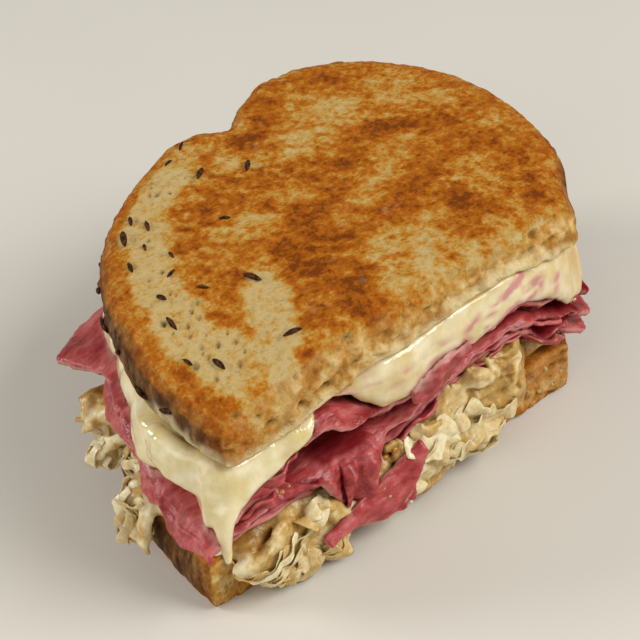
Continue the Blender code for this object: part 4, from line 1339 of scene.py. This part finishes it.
SUNK = Shredding(130, 100, (2.6, 5.4), (8.0, 17.0), -0.15, 0.9, 0.5, 0.5, 0.9)
LOOSE = {
    "sauerkraut_petals": Shredding(26, 8, (4.5, 8.5), (9.0, 15.0), 0.0, 0.7, 0.34, 0.28, 0.35,
                                   (0.55, 0.88), 0.05, 0.55, 21.0, 0.6),
    "sauerkraut_cluster": Shredding(12, 0, (5.0, 8.0), (9.0, 14.0), 0.3, 1.3, 0.4, 0.3, 0.5,
                                    (0.68, 0.94), 0.06, 0.5, 21.0, 0.6, (-4.0, 20.0, 7.0, 15.0)),
    "sauerkraut_corner": Shredding(9, 0, (4.5, 7.5), (7.0, 11.0), 0.0, 0.5, 0.36, 0.2, 0.3,
                                   (0.52, 0.74), 0.05, 0.6, 21.0, 0.6, (-44.0, -24.0, 5.0, 15.0)),
    "sauerkraut_strands": Shredding(8, 46, (1.8, 3.8), (8.0, 17.0), 0.2, 2.0, 0.42, 0.3, 0.6,
                                    (0.6, 0.95), 0.1, 0.4, 20.0, 0.6, (-44.0, -24.0, 4.0, 16.0)),
}


@dataclass
class KrautHeap:
    """Sauerkraut: a matted core with limp shreds sunk into it, and petals and strands over that."""

    cell: float = 0.5
    draw: int = 71
    upright_left_of: float = -8.0

    def build(self, mat_finish: bpy.types.Material, thin_finish: bpy.types.Material) -> Piece:
        """Model the mat and the loose shreds, and dress both.

        Args:
            mat_finish: the finish of the thick mat.
            thin_finish: the finish of single shreds.

        Returns:
            The mat.
        """
        mat = Piece.from_node(Node.KRAUT, "sauerkraut_mat")
        mat.remesh(self.cell, 8)
        rng = random.Random(self.draw)
        sunk, face_tones, _ = self.shreds("sunk", mat.tree(), rng, SUNK)
        sunk_tree = sunk.tree()
        mat.join(sunk)
        mat.remesh(self.cell, 3)
        points, normals = mat.points(), mat.normals()
        drape = np.where(points[:, 0] < self.upright_left_of, ripple(points, (2.6, 4.0, 8.0), 51),
                         ripple(points, (7.0, 4.0, 2.6), 54))
        crumple = 1.0 - 2.0 * np.abs(drape)
        limp = 0.35 * crumple + 0.2 * ripple(points, 1.7, 52)
        mat.move_to(points + normals * (0.1 + limp)[:, None])
        shade = np.full(len(points), 0.28)
        for number, place in enumerate(points):
            index, distance = sunk_tree.find_nearest(Vector(place), 1.0)[2:]
            if index is not None:
                shade[number] += (0.16 + 0.2 * face_tones[index]) * (1.0 - distance) ** 0.5
        # Painted shade: the mat's tone is darker where it is shut in, in its creases and hollows.
        shut = smooth(mat.shut_in(mat.tree(), 2.4), 0.1, 0.5)
        tufts = 1.0 - smooth(points[:, 0], -50.0, -44.0)
        mat.mark("tone", shade + 0.1 * crumple + 0.12 * ripple(points, 5.0, 53) + 0.3 * tufts - 0.3 * shut)
        mat.finish(mat_finish, Slot.KRAUT, Node.KRAUT)

        for name, lot in LOOSE.items():
            loose, _, tones = self.shreds(name, mat.tree(), rng, lot)
            loose.mark("tone", np.array(tones))
            loose.modify("SUBSURF", levels=1, render_levels=1)
            loose.finish(thin_finish, Slot.KRAUT, Node.KRAUT)
        return mat

    def shreds(self, name: str, tree: BVHTree, rng: random.Random,
               lot: Shredding) -> tuple[Piece, list[float], list[float]]:
        """Lay shreds over a surface and join them.

        Args:
            name: name of the piece.
            tree: the surface.
            rng: the draw.
            lot: how they are cut and laid.

        Returns:
            The piece, and its tones by face and by vertex.
        """
        points: list[Vector] = []
        faces: list[tuple[int, ...]] = []
        face_tones: list[float] = []
        point_tones: list[float] = []
        for start, ray in self.starts(rng, lot):
            hit, normal = tree.ray_cast(start, ray)[:2]
            if hit is None or hit.z > lot.highest:
                continue
            path = self.walk(tree, rng, hit, normal, lot)
            if len(path) < 5:
                continue
            tone = rng.uniform(*lot.tone)
            before = len(points), len(faces)
            self.ribbon(path, rng, lot, points, faces)
            point_tones.extend([tone] * (len(points) - before[0]))
            face_tones.extend([tone] * (len(faces) - before[1]))
        return Piece.from_faces(name, points, faces), face_tones, point_tones

    def starts(self, rng: random.Random, lot: Shredding) -> list[tuple[Vector, Vector]]:
        """Rays that find where shreds begin: over the curtain at the cut, then round the crust."""
        found = []
        left, right, low, high = lot.window
        for _ in range(lot.front):
            found.append((Vector((rng.uniform(left, right), FRONT_Y, rng.uniform(low, high))), INWARD))
        for _ in range(lot.side):
            degrees = rng.uniform(-38.0, 216.0)
            if rng.random() < 0.5:
                degrees = rng.uniform(158.0, 214.0)
            plan = LOAF.at(degrees, 1.0)
            out = Vector((math.cos(math.radians(degrees)), math.sin(math.radians(degrees)), 0.0))
            found.append((Vector((*plan, rng.uniform(13.0, 20.0))) + 20.0 * out, -out))
        return found

    def walk(self, tree: BVHTree, rng: random.Random, start: Vector, normal: Vector,
             lot: Shredding) -> list[tuple[Vector, Vector]]:
        """A limp path over a surface.

        Args:
            tree: the surface.
            rng: the draw.
            start: where it begins.
            normal: outward direction there.
            lot: how the shreds are laid.

        Returns:
            Places and outward directions along the path.
        """
        level = normal.cross(UP).normalized()
        steep = rng.uniform(0.5, 1.5) if start.x < self.upright_left_of else rng.uniform(-0.5, 0.7)
        heading = level * math.cos(steep) - UP * math.sin(steep)
        curve = rng.uniform(-lot.bend, lot.bend)
        lift = rng.uniform(0.2, lot.lift)
        count = int(rng.uniform(*lot.length) / lot.step)
        place, path = start.copy(), []
        for number in range(count):
            found = tree.find_nearest(place)
            if found[0] is None:
                break
            normal = (normal * 0.6 + found[1] * 0.4).normalized()
            hump = math.sin(math.pi * number / max(count - 1, 1))
            path.append((found[0] + normal * (lot.sink + lift * hump), normal.copy()))
            heading = (heading - normal * heading.dot(normal)).normalized()
            side = normal.cross(heading)
            heading = (heading + side * curve).normalized()
            curve = 0.8 * curve + 0.75 * rng.uniform(-lot.bend, lot.bend)
            place = found[0] + heading * lot.step
            if place.z < self.lowest(place.x):
                heading.z = abs(heading.z)
                place.z = self.lowest(place.x)
        return path

    def lowest(self, x: float) -> float:
        """How low shreds hang along the cut: the right end of the bottom slice stays bare."""
        return 3.2 + 4.0 * float(smooth(x, 18.0, 30.0))

    def ribbon(self, path: Sequence[tuple[Vector, Vector]], rng: random.Random, lot: Shredding,
               points: list[Vector], faces: list[tuple[int, ...]]) -> None:
        """Skin a thin shred with ruffled edges along a path.

        Args:
            path: places and outward directions.
            rng: the draw.
            lot: how the shreds are cut.
            points: vertices so far, added to.
            faces: faces so far, added to.
        """
        width = rng.uniform(*lot.width)
        curl = rng.uniform(-0.7, 0.7)
        cup = rng.uniform(-0.4, 1.0) * lot.cup
        phase = rng.uniform(0.0, 6.0)
        pace = 1.4 * lot.step
        section = (-0.5, -0.25, 0.0, 0.25, 0.5)
        sides = 2 * len(section) - 2
        base = len(points)
        for number, (place, normal) in enumerate(path):
            ahead = path[min(number + 1, len(path) - 1)][0] - path[max(number - 1, 0)][0]
            share = number / (len(path) - 1)
            twist = Quaternion(ahead.normalized(), curl * math.sin(4.0 * share))
            across = twist @ ahead.cross(normal).normalized()
            up = across.cross(ahead).normalized()
            taper = lot.blunt + (1.0 - lot.blunt) * math.sin(math.pi * min(max(share, 0.04), 0.96)) ** 0.5
            taper *= 0.92 + 0.1 * math.sin(pace * number + phase)
            ring = []
            for u in section:
                wave = lot.ruffle * (2.0 * u) ** 2 * math.sin(pace * number + phase + 2.6 * u)
                spine = place + across * u * width * taper + up * (cup * (0.5 - 2.0 * u * u) + wave)
                ring.append((spine, lot.thick * (1.0 - 0.5 * (2.0 * u) ** 4)))
            points.extend(spine + up * thick / 2.0 for spine, thick in ring)
            points.extend(spine - up * thick / 2.0 for spine, thick in reversed(ring[1:-1]))
        for ring_number in range(len(path) - 1):
            for i in range(sides):
                j = (i + 1) % sides
                low, high = base + ring_number * sides, base + (ring_number + 1) * sides
                faces.append((low + i, low + j, high + j, high + i))
        faces.append(tuple(base + i for i in reversed(range(sides))))
        faces.append(tuple(base + (len(path) - 1) * sides + i for i in range(sides)))


@dataclass
class Flecks:
    """Small things that stuck to the cut, each a squashed ball on what lies behind it."""

    name: str
    places: tuple[tuple[float, float, float], ...]
    flat: float = 0.4
    uneven: float = 0.2

    def build(self, behind: Sequence[Piece], material: bpy.types.Material, slot: Slot | None) -> None:
        """Model them where rays from the front meet a piece, and join them.

        Args:
            behind: the pieces that they may lie on.
            material: their finish.
            slot: the record's slot, passed on to the piece's finish.
        """
        trees = [piece.tree() for piece in behind]
        ball, faces = primitive("ico_sphere", subdivisions=3, radius=0.5)
        shape = np.array(ball)
        copies = []
        for number, (x, z, size) in enumerate(self.places):
            found = seen_from_cut(trees, x, z)
            if found is None:
                continue
            hit, normal = found
            lumpy = shape * (1.0 + self.uneven * ripple(shape * 2.0 + 5.0 * number, 0.9, 88))[:, None]
            turn = normal.to_track_quat("Z", "Y").to_matrix()
            copies.append([hit + turn @ Vector((size * a, 0.8 * size * b, self.flat * size * c))
                           for a, b, c in lumpy])
        Piece.from_copies(self.name, copies, faces).finish(material, slot)


CRUMBS = (
    (-38.0, 3.4, 1.2), (-33.5, 2.2, 0.9), (31.0, 5.6, 1.3), (34.4, 4.0, 1.0), (38.8, 3.0, 1.2),
    (41.6, 5.2, 0.9), (36.4, 8.8, 1.4), (-30.2, 9.6, 0.7), (-14.4, 11.0, 0.8), (2.4, 8.0, 0.8),
    (22.0, 12.4, 0.9),
)
DRESSING_DROPS = (
    (-35.6, 22.4, 1.2), (-34.0, 23.0, 0.7), (-10.6, 16.0, 1.8), (-9.2, 17.6, 1.2), (27.0, 16.0, 1.6),
)


@dataclass
class Studio:
    """A pale floor, soft light and the camera at the photograph's viewing angle."""

    eye: tuple[float, float, float] = (-167.7, -208.7, 252.1)
    azimuth: float = -45.0
    elevation: float = 39.5
    wide_angle: float = 40.0
    aim_pixel: tuple[float, float] = (200.0, 300.0)
    picture_side: float = 640.0
    angle: float = 20.6
    floor_side: float = 3.0
    world_strength: float = 0.3
    lit_place: tuple[float, float, float] = (0.0, 0.0, 0.02)

    def build(self) -> None:
        """Set up the floor, the lights and the camera."""
        self.floor()
        self.light("key", (0.55, -0.75, 0.85), 0.7, 12.5)
        self.light("fill", (-0.9, -0.35, 0.7), 0.9, 3.0)
        self.light("back", (-0.72, 0.62, 0.54), 0.32, 4.8)
        world = bpy.data.worlds.new("studio")
        world.use_nodes = True
        background = world.node_tree.nodes["Background"]
        background.inputs["Color"].default_value = srgb("#F4F1EA")
        background.inputs["Strength"].default_value = self.world_strength
        bpy.context.scene.world = world
        bpy.context.scene.view_settings.view_transform = "Standard"
        self.camera()

    def floor(self) -> None:
        """A plain pale floor."""
        clear_selection()
        bpy.ops.mesh.primitive_plane_add(size=self.floor_side)
        floor = bpy.context.active_object
        floor.name = "studio_floor"
        floor.data.materials.append(FloorPaint().material())

    def light(self, name: str, place: tuple[float, float, float], size: float, power: float) -> None:
        """A square soft light aimed at the sandwich.

        Args:
            name: name of the light.
            place: where it stands, in metres.
            size: its side in metres.
            power: its power in watts.
        """
        clear_selection()
        bpy.ops.object.light_add(type="AREA", location=place)
        light = bpy.context.active_object
        light.name = name
        light.data.size = size
        light.data.energy = power
        towards = Vector(self.lit_place) - Vector(place)
        light.rotation_euler = towards.to_track_quat("-Z", "Y").to_euler()

    def camera(self) -> None:
        """The photograph's eye point, turned to the sandwich and with a narrower lens."""
        clear_selection()
        bpy.ops.object.camera_add(location=(np.array(self.eye) + SHIFT) * MM)
        camera = bpy.context.active_object
        turn, rise = math.radians(self.azimuth), math.radians(self.elevation)
        ahead = Vector((-math.sin(turn) * math.cos(rise), math.cos(turn) * math.cos(rise), -math.sin(rise)))
        half = self.picture_side / 2.0
        focus = half / math.tan(math.radians(self.wide_angle) / 2.0)
        ray = Vector(((self.aim_pixel[0] - half) / focus, (half - self.aim_pixel[1]) / focus, -1.0))
        aside = Vector((0.0, 0.0, -1.0)).rotation_difference(ray.normalized())
        camera.rotation_mode = "QUATERNION"
        camera.rotation_quaternion = ahead.to_track_quat("-Z", "Y") @ aside
        camera.data.angle = math.radians(self.angle)
        camera.data.clip_start = 0.01
        bpy.context.scene.camera = camera


BEEF_SLICES = (
    BeefSlice(Node.BEEF_LOWER, "beef_slice_lower", 61),
    BeefSlice(Node.BEEF_MIDDLE, "beef_slice_middle", 66),
    BeefSlice(Node.BEEF_UPPER, "beef_slice_upper", 71, flap=Flap(),
              creases=((-54.2, 21.2, -51.8, 20.8),)),
    BeefSlice(Node.BEEF_LEAF, "beef_slice_leaf", 76, cell=0.4, crinkle=0.2, wrinkle=0.22,
              creases=((-17.4, 3.0, -3.4, 12.4), (-10.5, 7.4, -6.6, 1.4))),
    BeefSlice(Node.BEEF_SCRAP, "beef_scrap", 81, cell=0.4, crinkle=0.2, wrinkle=0.22),
)


def mark_beef(beef: Sequence[Piece], everything: BVHTree, cheese: Piece) -> None:
    """Mark where the beef lies in shade and where cheese leaves its film.

    Args:
        beef: the slices and the folds.
        everything: a tree of all that can shade them.
        cheese: the cheese.
    """
    for piece in beef:
        # Painted shade: dark red where a vertex is shut in a crevice or lies far in a hollow; the milky film
        # is kept out of it.
        crevice = smooth(piece.shut_in(everything, 3.2), 0.22, 0.6)
        dark = np.maximum(deep(piece.points()), 0.85 * crevice)
        piece.mark("deep", dark)
        touching = 1.0 - smooth(piece.distance_to([cheese], 3.0), 0.3, 2.2)
        upward = smooth(piece.normals()[:, 2], -0.2, 0.5)
        patchy = 0.5 + 0.5 * ripple(piece.points(), 3.0, 44)
        piece.mark("film", touching * upward * (1.0 - dark) * patchy)


def cling(bread: Piece, cheese: Piece) -> None:
    """Mark where cheese clings to the lower edge of the top slice."""
    points = bread.points()
    ragged = 0.8 * ripple(points, 3.0, 31) + 0.8 * ripple(points, 1.4, 32)
    bread.mark("smear", 0.7 * (1.0 - smooth(bread.distance_to([cheese], 5.0) + ragged, 1.2, 4.4)))


def build_sandwich() -> None:
    """Build and dress every piece, from the bottom up."""
    rye = ToastedRye().material()
    butter = (Spot(38.0, 11.0, 7.0, 5.0, -40.0), Spot(29.0, 9.0, 5.0, 4.0, 0.0))
    bottom = RyeSlice(Node.BOTTOM_BREAD, "bottom_rye_slice", BOTTOM_CUT_Y, cell=0.6, face_up=False,
                      glaze=butter).build(rye)
    top = RyeSlice(Node.TOP_BREAD, "top_rye_slice", TOP_CUT_Y, face_level=TOP_FACE,
                   patches=BROWNED + PALE).build(rye)
    CarawaySeeds().build(top, Caraway().material())
    thin = Sauerkraut("sauerkraut_single_shreds", soak=0.5, share=0.35)
    mat = KrautHeap().build(Sauerkraut().material(), thin.material())

    slices = {cut.node: cut.build() for cut in BEEF_SLICES}
    beef = list(slices.values())
    folds = BeefFolds().build(beef[:3])
    layer = CheeseLayer()
    cheese = layer.build()
    mark_beef([*beef, folds], tree_of([bottom, top, mat, folds, cheese, *beef]), cheese)
    layer.dress(cheese, MeltedCheese().material(), [*beef, folds], top)
    cling(top, cheese)
    beef_finish = CornedBeef().material()
    for node, piece in slices.items():
        piece.finish(beef_finish, Slot.BEEF, node)
    folds.finish(beef_finish, Slot.BEEF, Node.BEEF_MIDDLE)
    behind = [bottom, mat, folds, *beef]
    Flecks("crumbs", CRUMBS, 0.8, 0.5).build(behind, rye, Slot.RYE)
    Flecks("dressing_drops", DRESSING_DROPS).build(behind, Dressing().material(), None)


def main() -> None:
    """Build the sandwich and the studio."""
    logging.basicConfig(level=logging.INFO, format="%(message)s", stream=sys.stdout)
    build_sandwich()
    Studio().build()


if __name__ == "__main__":
    main()
